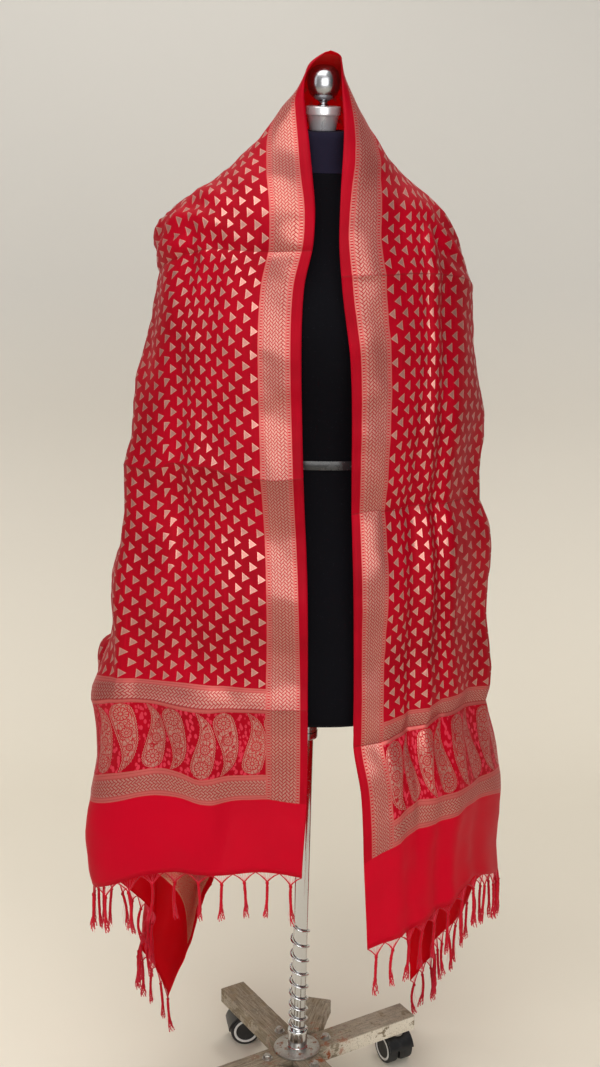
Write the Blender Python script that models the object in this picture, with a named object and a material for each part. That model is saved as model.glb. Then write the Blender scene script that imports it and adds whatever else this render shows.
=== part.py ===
"""A red silk dupatta stole draped over a limbless dress form on a castor stand.

Metres, +Z up, the front of the form towards -Y and the stand's centre at X = Y = 0.
"""

import math

import bmesh
import bpy
import numpy as np
from mathutils import Matrix, Vector

GAP = 0.0003  # clearance between pieces that rest on each other

# ---------------------------------------------------------------- the cloth's sizes
CLOTH_WIDTH = 0.92
LEFT_LENGTH = 1.172  # along the front selvedge, from the peak over the finial to the end
RIGHT_LENGTH = 1.262
WALL = 0.0012
HOOD_ROWS = (0, 0.017, 0.029, 0.043, 0.070, 0.11, 0.17, 0.25)  # shares of the way to the edges
FALL_CELLS = 10
REAR_CELLS = 28
STRIP_WIDTH = 0.004  # the fringe's backing, just past the cloth's end
STRIP_WALL = 0.0010
STRIP_GAP = 0.0007  # along the warp, which meets the end at a slant
TASSELS = 28  # on each end
TASSEL_ROOT = 0.011
TASSEL_CLEAR = 0.002
TASSEL_SECTIONS = [
    # how far down, half width, half thickness
    (0.0145, 0.0020, 0.0018),
    (0.0180, 0.0026, 0.0025),
    (0.0220, 0.0016, 0.0015),
    (0.0820, 0.0021, 0.0018),
]

# ---------------------------------------------------------------- the drape
# The cloth hangs in level curves. Each row is one level: the height, the place of the front
# selvedge, the outermost point at the side and the middle of the back.
PEAK = 1.555
LEFT_LEVELS = [
    # height, edge_x, edge_y, side_x, side_y
    (1.555, 0.043, -0.028, 0.041, -0.026),
    (1.549, 0.033, -0.029, 0.030, -0.021),
    (1.540, 0.022, -0.031, 0.018, -0.012),
    (1.524, 0.0135, -0.034, 0.0110, -0.006),
    (1.506, 0.0110, -0.037, 0.0000, -0.005),
    (1.480, 0.0130, -0.042, -0.024, -0.007),
    (1.447, 0.0172, -0.051, -0.054, -0.008),
    (1.400, 0.0215, -0.080, -0.096, -0.009),
    (1.361, 0.0243, -0.106, -0.148, -0.009),
    (1.325, 0.0220, -0.126, -0.176, -0.009),
    (1.270, 0.0110, -0.134, -0.184, -0.010),
    (1.172, 0.0080, -0.133, -0.203, -0.012),
    (1.002, 0.0105, -0.130, -0.233, -0.018),
    (0.875, 0.0148, -0.128, -0.248, -0.020),
    (0.763, 0.0155, -0.126, -0.266, -0.020),
    (0.690, 0.0155, -0.125, -0.287, -0.021),
    (0.579, 0.0150, -0.124, -0.289, -0.035),
    (0.430, 0.0075, -0.120, -0.294, -0.058),
    (0.200, 0.0075, -0.120, -0.288, -0.060),
    (0.000, 0.0075, -0.120, -0.280, -0.060),
]
RIGHT_LEVELS = [
    (1.555, 0.043, -0.028, 0.045, -0.026),
    (1.549, 0.0545, -0.029, 0.0560, -0.022),
    (1.540, 0.0560, -0.030, 0.0585, -0.014),
    (1.524, 0.0565, -0.033, 0.0615, -0.006),
    (1.506, 0.0575, -0.036, 0.0700, -0.004),
    (1.480, 0.0590, -0.042, 0.083, -0.004),
    (1.447, 0.0585, -0.051, 0.098, -0.003),
    (1.400, 0.0560, -0.080, 0.130, 0.000),
    (1.361, 0.0540, -0.106, 0.1872, 0.002),
    (1.325, 0.0530, -0.126, 0.2132, 0.005),
    (1.270, 0.0560, -0.134, 0.2260, 0.008),
    (1.172, 0.0672, -0.134, 0.240, 0.016),
    (1.002, 0.0708, -0.132, 0.257, 0.031),
    (0.875, 0.0740, -0.131, 0.269, 0.043),
    (0.763, 0.0765, -0.130, 0.278, 0.056),
    (0.650, 0.0771, -0.130, 0.286, 0.066),
    (0.579, 0.0876, -0.130, 0.294, 0.076),
    (0.466, 0.0930, -0.130, 0.304, 0.098),
    (0.320, 0.1000, -0.128, 0.316, 0.115),
    (0.000, 0.1030, -0.128, 0.302, 0.120),
]
BACK_LEVELS = [
    # height, back_x, back_y, corner: how square the level curve lies on the flat cloth
    (1.555, 0.0430, -0.026, 2.0),
    (1.5405, 0.0370, 0.0110, 2.0),
    (1.532, 0.0360, 0.0260, 2.0),
    (1.512, 0.0355, 0.0315, 2.1),
    (1.480, 0.0350, 0.0350, 2.3),
    (1.440, 0.0340, 0.0500, 2.6),
    (1.400, 0.0330, 0.070, 3.0),
    (1.350, 0.0320, 0.104, 3.2),
    (1.300, 0.0300, 0.128, 3.0),
    (1.200, 0.0280, 0.165, 2.75),
    (1.050, 0.0250, 0.200, 2.6),
    (0.850, 0.0210, 0.230, 2.45),
    (0.707, 0.0180, 0.250, 2.35),
    (0.400, 0.0180, 0.250, 2.25),
    (0.000, 0.0180, 0.250, 2.25),
]
# Below the middle of the back each half ends at its own rear selvedge.
LEFT_REAR = [
    # height, rear_x, rear_y
    (0.707, 0.018, 0.250),
    (0.690, -0.070, 0.245),
    (0.650, -0.100, 0.235),
    (0.560, -0.120, 0.210),
    (0.400, -0.130, 0.150),
    (0.300, -0.165, 0.100),
    (0.160, -0.232, 0.034),
    (0.000, -0.242, 0.024),
]
RIGHT_REAR = [
    (0.707, 0.018, 0.250),
    (0.690, 0.095, 0.245),
    (0.650, 0.120, 0.235),
    (0.560, 0.140, 0.215),
    (0.400, 0.165, 0.195),
    (0.280, 0.178, 0.170),
    (0.180, 0.184, 0.145),
    (0.000, 0.186, 0.130),
]
PLEATS = 3.5  # the deep folds in each half of the back
MOST_SWING = 1.65  # radians: the most that a fold's wall turns from the outline
WIDEST_FOLD = 0.34  # of flat cloth, from the crest of one fold to the next
LOW_CORNER = {-1: -0.10, 1: 0.03}  # added to the level curves' corner low down
FRONT_SQUARE = {-1: 2.5, 1: 1.75}  # the outline's superellipse exponents
BACK_SQUARE = 2.2

# Soft folds in the front and sides, each running down the cloth.
FOLDS = [
    # side, from the selvedge, width, depth, top, bottom
    (-1, 0.165, 0.030, 0.006, 1.20, 0.72),
    (-1, 0.262, 0.016, -0.010, 1.30, 0.70),
    (-1, 0.150, 0.040, -0.005, 0.70, 0.30),
    (1, 0.142, 0.020, -0.007, 1.26, 0.30),
    (1, 0.215, 0.022, 0.006, 1.10, 0.30),
    (1, 0.262, 0.014, -0.008, 1.15, 0.60),
    (1, 0.120, 0.016, 0.008, 0.55, 0.20),
]


def hermite(x, xs, ys):
    """Monotone cubic through the points (xs, ys), with xs rising."""
    step = np.diff(xs)
    slope = np.diff(ys) / step
    tangent = np.concatenate([[slope[0]], (slope[:-1] + slope[1:]) / 2, [slope[-1]]])
    flat = slope[:-1] * slope[1:] <= 0
    tangent[1:-1][flat] = 0
    limit = 3 * np.minimum(np.abs(np.append(slope, slope[-1])), np.abs(np.insert(slope, 0, slope[0])))
    tangent = np.clip(tangent, -limit, limit)
    x = np.clip(x, xs[0], xs[-1])
    i = np.clip(np.searchsorted(xs, x, side="right") - 1, 0, len(step) - 1)
    t = (x - xs[i]) / step[i]
    return (
        ys[i] * (1 + 2 * t) * (1 - t) ** 2
        + ys[i + 1] * t * t * (3 - 2 * t)
        + step[i] * t * (1 - t) * (tangent[i] * (1 - t) - tangent[i + 1] * t)
    )


def columns_at(rows, heights):
    """Every column of a table of levels, read at these heights."""
    table = np.array(rows)[::-1]
    return [hermite(heights, table[:, 0], column) for column in table[:, 1:].T]


def ramp(x, start, end):
    """0 before start, 1 past end, and a smooth rise between them."""
    t = np.clip((x - start) / (end - start), 0, 1)
    return t * t * (3 - 2 * t)


def bessel(order, x):
    """Bessel function of the first kind by its integral: how a meander's sine folds share out."""
    turn = (np.arange(48) + 0.5) * math.pi / 48
    return np.mean(np.cos(order * turn - np.multiply.outer(x, np.sin(turn))), axis=-1)


def length_along(*coordinates):
    """Running length of a path, from 0, along its last axis."""
    steps = np.sqrt(sum(np.diff(c, axis=-1) ** 2 for c in coordinates))
    start = np.zeros(steps.shape[:-1] + (1,))
    return np.concatenate([start, np.cumsum(steps, axis=-1)], axis=-1)


def level_heights():
    """Heights of the levels, from the peak down, close together where the cloth is small."""
    return np.concatenate([
        PEAK - 0.075 * np.linspace(0, 1, 31) ** 1.5,
        np.linspace(1.475, 1.28, 40),
        np.linspace(1.27, 0.02, 90),
    ])


class Half:
    """One half of the drape, from the peak down one side: -1 is the left one and 1 the right."""

    def __init__(self, side, rows, rear_rows):
        self.side = side
        self.z = level_heights()
        self.edge_x, self.edge_y, self.side_x, self.side_y = columns_at(rows, self.z)
        self.back_x, self.back_y, self.corner = columns_at(BACK_LEVELS, self.z)
        self.corner = self.corner + LOW_CORNER[side] * ramp(-self.z, -0.60, -0.20)
        # How far down the flat cloth each level lies, along the front selvedge and the middle.
        tiny = 1e-5 * np.arange(len(self.z))
        self.front_run = length_along(self.edge_x, self.edge_y, self.z) + tiny
        self.back_run = length_along(self.back_x, self.back_y, self.z) + tiny
        turn = np.linspace(0, math.pi / 2, 61)
        power = (2 / self.corner)[:, None]
        along = self.front_run[:, None] * np.cos(turn) ** power
        across = self.back_run[:, None] * np.sin(turn) ** power
        self.turn = turn
        self.arc = length_along(along, across)
        # Below the middle of the back, a level ends at the rear selvedge.
        beyond = np.clip(CLOTH_WIDTH / np.maximum(self.back_run, 1e-6), 0, 1) ** (self.corner / 2)
        last = np.arcsin(np.clip(beyond, 0, 1))
        self.end = np.array([np.interp(t, turn, arc) for t, arc in zip(last, self.arc)])
        falls = self.z < rear_rows[0][0]
        rear_x, rear_y = columns_at(rear_rows, self.z)
        self.back_x = np.where(falls, rear_x, self.back_x)
        self.back_y = np.where(falls, rear_y, self.back_y)
        self.outline()

    def outline(self):
        """The plan of every level, from the front selvedge round the side to the middle back."""
        t = np.linspace(0, math.pi / 2, 41)
        across = np.sin(t) ** (2 / FRONT_SQUARE[self.side])
        ahead = np.cos(t) ** (2 / FRONT_SQUARE[self.side])
        inward = np.cos(t) ** (2 / BACK_SQUARE)
        behind = np.sin(t) ** (2 / BACK_SQUARE)
        column = lambda values: values[:, None]
        front_x = column(self.edge_x) + column(self.side_x - self.edge_x) * across
        front_y = column(self.side_y) + column(self.edge_y - self.side_y) * ahead
        rear_x = column(self.back_x) + column(self.side_x - self.back_x) * inward
        rear_y = column(self.side_y) + column(self.back_y - self.side_y) * behind
        x = np.concatenate([front_x, rear_x[:, 1:]], axis=1)
        y = np.concatenate([front_y, rear_y[:, 1:]], axis=1)
        run = length_along(x, y)
        self.front_length = run[:, len(t) - 1]
        self.round = run[:, -1]
        self.steps = np.linspace(0, 1, 161)
        even = [np.interp(self.steps * r[-1], r, line) for r, line in zip(run, x)]
        self.x = np.array(even)
        self.y = np.array([np.interp(self.steps * r[-1], r, line) for r, line in zip(run, y)])


def fold_walls(halves):
    """Shares the spare cloth of every level out into the back's folds, alike in both halves."""
    part = np.linspace(0, 1, 121)
    swings = []
    for half in halves.values():
        spare = half.end - half.front_length
        room = half.round - half.front_length
        low, high = np.zeros(len(half.z)), np.full(len(half.z), MOST_SWING)
        for _ in range(24):
            middle = (low + high) / 2
            lean = np.multiply.outer(middle, fold_share(part))
            taken = spare * np.mean(bessel(0, lean), axis=1)
            low = np.where(taken > room, middle, low)
            high = np.where(taken > room, high, middle)
        swings.append((low + high) / 2)
    for half in halves.values():
        half.swing = np.mean(swings, axis=0) * ramp(-half.z, -1.36, -1.20)
        half.wave = np.mean(
            [(h.arc[:, -1] - h.front_length) / PLEATS for h in halves.values()], axis=0
        )
        # The run along the outline that each part of the spare cloth reaches.
        lean = np.multiply.outer(half.swing, fold_share(part))
        run = np.cumsum(bessel(0, lean), axis=1)
        run = run - run[:, :1]
        half.part = part
        half.run = run * ((half.round - half.front_length) / run[:, -1])[:, None]


def fold_share(part):
    """How much of the full swing the folds have, from the side (0) to the middle back (1)."""
    return 0.15 + 0.85 * ramp(part, 0.0, 0.34) - 0.25 * ramp(part, 0.86, 1.0)


def place(half, level, arc):
    """X, Y, and the outward direction of the point this far along one level."""
    front = half.front_length[level]
    part = np.clip((arc - front) / max(half.end[level] - front, 1e-6), 0, 1)
    run = np.where(arc < front, arc, front + np.interp(part, half.part, half.run[level]))
    total = half.round[level]
    u = np.clip(run / total, 0, 1)
    x = np.interp(u, half.steps, half.x[level])
    y = np.interp(u, half.steps, half.y[level])
    step = 0.5 / (len(half.steps) - 1)
    ahead = np.clip(u + step, 0, 1)
    behind = np.clip(u - step, 0, 1)
    dx = np.interp(ahead, half.steps, half.x[level]) - np.interp(behind, half.steps, half.x[level])
    dy = np.interp(ahead, half.steps, half.y[level]) - np.interp(behind, half.steps, half.y[level])
    size = np.maximum(np.hypot(dx, dy), 1e-9)
    dx, dy = dx / size, dy / size
    out_x, out_y = -dy * half.side, dx * half.side
    lean = half.swing[level] * fold_share(part)
    phase = 2 * math.pi * (arc - front) / max(half.wave[level], 1e-6)
    inside = arc > front
    # The folds are narrower in the low corners, where the cloth hangs from fewer of them.
    scale = min(half.wave[level], WIDEST_FOLD) * (1 - 0.2 * ramp(-half.z[level], -0.60, -0.22)) / (2 * math.pi)
    out = scale * (2 * bessel(1, lean) * np.cos(phase) + 2 / 3 * bessel(3, lean) * np.cos(3 * phase))
    along = scale * bessel(2, lean) * np.sin(2 * phase)
    fade = ramp(phase, 0, 1.8 * math.pi)
    z = half.z[level]
    out = np.where(inside, -out * fade, 0)
    along = np.where(inside, along * fade, 0)
    for side, centre, width, depth, top, bottom in FOLDS:
        if side == half.side:
            share = ramp(z, top + 0.06, top - 0.12) * ramp(z, bottom - 0.04, bottom + 0.06)
            out = out + depth * share * np.exp(-(((arc - centre) / width) ** 2))
    return x + out_x * out + dx * along, y + out_y * out + dy * along


def level_of(half, along, across):
    """Which level each point of the flat cloth hangs at, with the fraction to the next one."""
    low = np.zeros(along.shape, int)
    high = np.full(along.shape, len(half.z) - 1)

    def beyond(level):
        power = half.corner[level]
        return (along / half.front_run[level]) ** power + (across / half.back_run[level]) ** power - 1

    low[:] = 1
    while np.any(high - low > 1):
        middle = (low + high) // 2
        out = beyond(middle) > 0
        low = np.where(out, middle, low)
        high = np.where(out, high, middle)
    here, there = beyond(low), beyond(high)
    share = np.clip(here / np.maximum(here - there, 1e-9), 0, 1)
    return low, share


def drape(half, along, across):
    """Where points of the flat cloth hang: along from the peak and across from the selvedge."""
    along, across = np.broadcast_arrays(np.asarray(along, float), np.asarray(across, float))
    shape = along.shape
    along, across = along.ravel(), across.ravel()
    level, share = level_of(half, along, across)
    z = half.z[level] + (half.z[level + 1] - half.z[level]) * share
    points = np.zeros((len(along), 3))
    points[:, 2] = z
    for number in np.unique(level):
        chosen = np.flatnonzero(level == number)
        near = np.zeros((2, len(chosen), 2))
        for step in (0, 1):
            at = number + step
            power = half.corner[at] / 2
            turn = np.arctan2(
                (across[chosen] / half.back_run[at]) ** power,
                (along[chosen] / half.front_run[at]) ** power,
            )
            arc = np.interp(turn, half.turn, half.arc[at])
            near[step] = np.transpose(place(half, at, arc))
        part = share[chosen][:, None]
        points[chosen, :2] = near[0] * (1 - part) + near[1] * part
    return points.reshape(shape + (3,))


# ---------------------------------------------------------------- the form and stand's sizes
LEAN = math.radians(1.4)  # the pole stands a little crooked in its hub, towards +X
LEAN_FROM = 0.06  # the height where the pole's axis crosses X = 0
FORM_SECTIONS = [
    # height, half_width, front, back
    (0.665, 0.150, 0.102, 0.102),
    (0.672, 0.160, 0.108, 0.108),
    (0.730, 0.165, 0.111, 0.112),
    (0.800, 0.164, 0.111, 0.116),
    (0.880, 0.152, 0.104, 0.106),
    (0.970, 0.130, 0.092, 0.088),
    (1.030, 0.121, 0.087, 0.080),
    (1.100, 0.129, 0.096, 0.085),
    (1.170, 0.145, 0.116, 0.092),
    (1.220, 0.157, 0.124, 0.096),
    (1.260, 0.163, 0.118, 0.097),
    (1.300, 0.166, 0.100, 0.093),
    (1.330, 0.163, 0.083, 0.087),
    (1.348, 0.148, 0.072, 0.079),
    (1.362, 0.115, 0.062, 0.070),
    (1.375, 0.078, 0.054, 0.059),
    (1.388, 0.055, 0.048, 0.050),
    (1.4045, 0.0440, 0.0430, 0.0430),
]
FORM_SQUARE = 2.25
NECK_SECTIONS = [
    (1.4050, 0.0430, 0.0420, 0.0420),
    (1.4100, 0.0418, 0.0408, 0.0408),
    (1.4350, 0.0390, 0.0380, 0.0380),
    (1.4520, 0.0385, 0.0375, 0.0375),
    (1.4555, 0.0355, 0.0345, 0.0345),
]
TAPE_HEIGHT = 0.012
TAPE_AT = 1.026
TAPE_WALL = 0.0012
POLE_RADIUS = 0.011
POLE_FOOT = 0.094
POLE_TOP = 0.86
SLIDE_CLEARANCE = 0.0004
CAP_PROFILE = [
    # radius, height
    (0.0, 1.4558), (0.0165, 1.4558), (0.0170, 1.4565), (0.0203, 1.4755), (0.0222, 1.4768),
    (0.0225, 1.4780), (0.0225, 1.4850), (0.0218, 1.4862), (0.0, 1.4862),
]
FINIAL_PROFILE = [
    (0.0, 1.4865), (0.0070, 1.4865), (0.0066, 1.4885), (0.0050, 1.4905), (0.0056, 1.4922),
    (0.0105, 1.4945), (0.0160, 1.4995), (0.0198, 1.5070), (0.0214, 1.5160), (0.0207, 1.5240),
    (0.0180, 1.5305), (0.0130, 1.5350), (0.0065, 1.5372), (0.0, 1.5376),
]
SOCKET_PROFILE = [
    (POLE_RADIUS + SLIDE_CLEARANCE, 0.6647), (0.0245, 0.6647), (0.0250, 0.6640), (0.0250, 0.6380),
    (0.0235, 0.6355), (0.0175, 0.6330), (POLE_RADIUS + SLIDE_CLEARANCE, 0.6330),
]
CLAMP_PROFILE = [
    (POLE_RADIUS + SLIDE_CLEARANCE, 0.6327), (0.0160, 0.6327), (0.0165, 0.6320), (0.0165, 0.6080),
    (0.0155, 0.6065), (POLE_RADIUS + SLIDE_CLEARANCE, 0.6065),
]
SPRING_WIRE = 0.003
SPRING_RADIUS = 0.0136
SPRING_FOOT = 0.1264
SPRING_HEIGHT = 0.176
SPRING_TURNS = 7
WHEEL_RADIUS = 0.025
WHEEL_SIDES = 16
AXLE_HEIGHT = WHEEL_RADIUS * math.cos(math.pi / WHEEL_SIDES)  # one flat of each tread is down
CROSS_BOTTOM = 0.0640
CROSS_TOP = 0.0890
LEG_WIDTH = 0.042
BAR_BEVEL = 0.0015
LEG_REACH = 0.205
LEG_TURN = math.radians(31)
STUB_REACH = 0.142
PLATE_THICKNESS = 0.004
CASTOR_AT = 0.186
SLEEVE_PROFILE = [
    (POLE_RADIUS + GAP, 0.0940), (0.0145, 0.0940), (0.0145, 0.1235), (0.0138, 0.1245),
    (POLE_RADIUS + GAP, 0.1245),
]

# ---------------------------------------------------------------- solids


def material(name, colour, roughness, metallic=0.0):
    made = bpy.data.materials.new(name)
    made.use_nodes = True
    shader = made.node_tree.nodes["Principled BSDF"]
    shader.inputs["Base Color"].default_value = (*colour, 1.0)
    shader.inputs["Roughness"].default_value = roughness
    shader.inputs["Metallic"].default_value = metallic
    made.diffuse_color = (*colour, 1.0)
    return made


def add_object(name, points, faces, colour, smooth=True):
    """One named solid with its own material."""
    mesh = bpy.data.meshes.new(name)
    mesh.from_pydata([tuple(p) for p in points], [], faces)
    mesh.validate()
    shaper = bmesh.new()
    shaper.from_mesh(mesh)
    bmesh.ops.recalc_face_normals(shaper, faces=shaper.faces)
    shaper.to_mesh(mesh)
    shaper.free()
    if smooth:
        mesh.shade_smooth()
        mesh.set_sharp_from_angle(angle=math.radians(40))
    mesh.materials.append(material(name + "_finish", *colour))
    made = bpy.data.objects.new(name, mesh)
    bpy.context.scene.collection.objects.link(made)
    return made


def leaning():
    """The tilt of the pole and of all that it carries."""
    centre = Matrix.Translation((0, 0, LEAN_FROM))
    return centre @ Matrix.Rotation(LEAN, 4, "Y") @ centre.inverted()


def leaning_frame():
    """An empty that carries the leaning pieces."""
    frame = bpy.data.objects.new("pole_axis", None)
    bpy.context.scene.collection.objects.link(frame)
    frame.matrix_world = leaning()
    return frame


def turned(name, profile, colour, sides=28, smooth=True):
    """A solid of revolution about Z from a closed profile of (radius, height)."""
    hollow = profile[0][0] > 1e-6
    ring_rows = profile if hollow else profile[1:-1]
    points, faces = [], []
    for radius, height in ring_rows:
        for k in range(sides):
            turn = 2 * math.pi * k / sides
            points.append((radius * math.cos(turn), radius * math.sin(turn), height))
    rows = len(ring_rows)
    for row in range(rows if hollow else rows - 1):
        for k in range(sides):
            a, b = row * sides + k, row * sides + (k + 1) % sides
            over = (row + 1) % rows * sides
            faces.append((a, b, over + (k + 1) % sides, over + k))
    if not hollow:
        faces.append(tuple(range(sides))[::-1])
        faces.append(tuple((rows - 1) * sides + k for k in range(sides)))
    return add_object(name, points, faces, colour, smooth)


def section_ring(row, sides, grow=0.0):
    """One level ring of the form: a superellipse with its own front and back depth."""
    height, half_width, front, back = row
    ring = []
    for k in range(sides):
        turn = 2 * math.pi * k / sides
        c, s = math.cos(turn), math.sin(turn)
        depth = back if s > 0 else front
        ring.append((
            (half_width + grow) * math.copysign(abs(c) ** (2 / FORM_SQUARE), c),
            (depth + grow) * math.copysign(abs(s) ** (2 / FORM_SQUARE), s),
            height,
        ))
    return ring


def stacked(rings, closed=False):
    """Faces that join rings of points, in order; a closed stack joins the last to the first."""
    sides = len(rings[0])
    points = [point for ring in rings for point in ring]
    faces = []
    for row in range(len(rings) if closed else len(rings) - 1):
        over = (row + 1) % len(rings) * sides
        for k in range(sides):
            after = (k + 1) % sides
            faces.append((row * sides + k, row * sides + after, over + after, over + k))
    if not closed:
        faces.append(tuple(range(sides))[::-1])
        faces.append(tuple((len(rings) - 1) * sides + k for k in range(sides)))
    return points, faces


def circle(radius, height, sides):
    turns = [2 * math.pi * k / sides for k in range(sides)]
    return [(radius * math.cos(t), radius * math.sin(t), height) for t in turns]


def build_form(frame):
    sides = 26
    bore = POLE_RADIUS + SLIDE_CLEARANCE
    rings = [section_ring(row, sides) for row in FORM_SECTIONS]
    bottom = FORM_SECTIONS[0][0]
    inner = [circle(bore, POLE_TOP + 0.002, sides), circle(bore, bottom, sides)]
    points, faces = stacked(inner + rings)
    torso = add_object("form_torso", points, faces, ((0.012, 0.013, 0.017), 0.75))
    points, faces = stacked([section_ring(row, sides) for row in NECK_SECTIONS])
    neck = add_object("form_neck", points, faces, ((0.03, 0.03, 0.05), 0.8))
    waist = columns_at(sorted(FORM_SECTIONS, reverse=True), np.array([TAPE_AT, TAPE_AT + TAPE_HEIGHT]))
    low = (TAPE_AT, *[float(column[0]) for column in waist])
    high = (TAPE_AT + TAPE_HEIGHT, *[float(column[1]) for column in waist])
    clear = 0.0012
    loops = [
        section_ring(low, sides, clear), section_ring(low, sides, clear + TAPE_WALL),
        section_ring(high, sides, clear + TAPE_WALL), section_ring(high, sides, clear),
    ]
    points, faces = stacked(loops, closed=True)
    tape = add_object("form_waist_tape", points, faces, ((0.02, 0.02, 0.025), 0.25))
    chrome = ((0.75, 0.76, 0.78), 0.12, 1.0)
    black = ((0.015, 0.015, 0.018), 0.35)
    cap = turned("neck_cap", CAP_PROFILE, chrome, 22)
    finial = turned("finial", FINIAL_PROFILE, chrome, 18)
    socket = turned("pole_socket", SOCKET_PROFILE, black, 20)
    clamp = turned("pole_clamp", CLAMP_PROFILE, chrome, 20)
    for piece in (torso, neck, tape, cap, finial, socket, clamp):
        piece.parent = frame


def tube_along(path, radius, sides):
    """A round tube through points, with filled ends."""
    points, faces = [], []
    up = Vector((0, 0, 1))
    for k, centre in enumerate(path):
        ahead = path[min(k + 1, len(path) - 1)] - path[max(k - 1, 0)]
        ahead.normalize()
        across = ahead.cross(up).normalized()
        over = across.cross(ahead)
        for side in range(sides):
            turn = 2 * math.pi * side / sides
            points.append(centre + radius * (math.cos(turn) * across + math.sin(turn) * over))
    for k in range(len(path) - 1):
        for side in range(sides):
            a, b = k * sides + side, k * sides + (side + 1) % sides
            faces.append((a, b, b + sides, a + sides))
    faces.append(tuple(range(sides))[::-1])
    faces.append(tuple((len(path) - 1) * sides + k for k in range(sides)))
    return points, faces


def build_pole(frame):
    chrome = ((0.75, 0.76, 0.78), 0.12, 1.0)
    radius, edge = POLE_RADIUS, 0.0008
    profile = [
        (0.0, POLE_FOOT), (radius - edge, POLE_FOOT), (radius, POLE_FOOT + edge),
        (radius, POLE_TOP - edge), (radius - edge, POLE_TOP), (0.0, POLE_TOP),
    ]
    pole = turned("pole", profile, chrome, 16)
    steps = 10 * SPRING_TURNS
    path = []
    for k in range(steps + 1):
        t = k / steps
        turn = 2 * math.pi * SPRING_TURNS * t
        # The coils lie closer together at the foot.
        height = SPRING_FOOT + SPRING_HEIGHT * (0.55 * t + 0.45 * t * t)
        path.append(Vector((SPRING_RADIUS * math.cos(turn), SPRING_RADIUS * math.sin(turn), height)))
    points, faces = tube_along(path, SPRING_WIRE / 2, 5)
    spring = add_object("spring", points, faces, chrome)
    sleeve = turned("hub_sleeve", SLEEVE_PROFILE, chrome, 20)
    for piece in (pole, spring, sleeve):
        piece.parent = frame


def box(name, start, end, width, bottom, top, turn, colour):
    """A bar along a bearing from the stand's centre."""
    c, s = math.cos(turn), math.sin(turn)
    half = width / 2
    corners = [(start, -half), (end, -half), (end, half), (start, half)]
    rings = [[(c * x - s * y, s * x + c * y, z) for x, y in corners] for z in (bottom, top)]
    points, faces = stacked(rings)
    bar = add_object(name, points, faces, colour, smooth=False)
    bevel = bar.modifiers.new("edges", "BEVEL")
    bevel.width = BAR_BEVEL
    bevel.segments = 1
    return bar


def build_stand():
    wood = ((0.32, 0.27, 0.22), 0.85)
    box("beam", -LEG_REACH, LEG_REACH, LEG_WIDTH, CROSS_BOTTOM, CROSS_TOP, LEG_TURN, wood)
    across = LEG_TURN + math.pi / 2
    start = LEG_WIDTH / 2 + GAP
    for name, turn in (("leg_back", across), ("leg_front", across + math.pi)):
        box(name, start, LEG_REACH, LEG_WIDTH, CROSS_BOTTOM, CROSS_TOP, turn, wood)
    diagonal = LEG_TURN + math.pi / 4
    inner = LEG_WIDTH / 2 / math.tan(math.pi / 8) - 0.8 * BAR_BEVEL
    for name, turn in (("stub_back", diagonal), ("stub_front", diagonal + math.pi)):
        box(name, inner, STUB_REACH, LEG_WIDTH, CROSS_BOTTOM, CROSS_TOP, turn, wood)
    steel = ((0.45, 0.44, 0.42), 0.5, 0.8)
    plate_foot = CROSS_TOP + GAP
    profile = [
        (0.0, plate_foot), (0.0340, plate_foot), (0.0350, plate_foot + 0.001),
        (0.0350, plate_foot + PLATE_THICKNESS - 0.001), (0.0340, plate_foot + PLATE_THICKNESS),
        (0.0, plate_foot + PLATE_THICKNESS),
    ]
    turned("hub_plate", profile, steel, 20)
    for number in range(4):
        turn = LEG_TURN + number * math.pi / 2
        middle = 0.052
        foot = CROSS_TOP + GAP
        bolt_profile = [
            (0.0, foot), (0.0080, foot), (0.0080, foot + 0.0012), (0.0060, foot + 0.0014),
            (0.0060, foot + 0.0062), (0.0048, foot + 0.0070), (0.0, foot + 0.0070),
        ]
        bolt = turned(f"bolt_{number + 1}", bolt_profile, steel, 6, smooth=False)
        bolt.location = (middle * math.cos(turn), middle * math.sin(turn), 0)


CASTOR_TURNS = [math.radians(a) for a in (118, 10, 250, 330)]  # where each castor trails
FORK_TRAIL = 0.010
WEB_HALF = 0.004
TREAD_OUT = 0.0215


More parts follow.
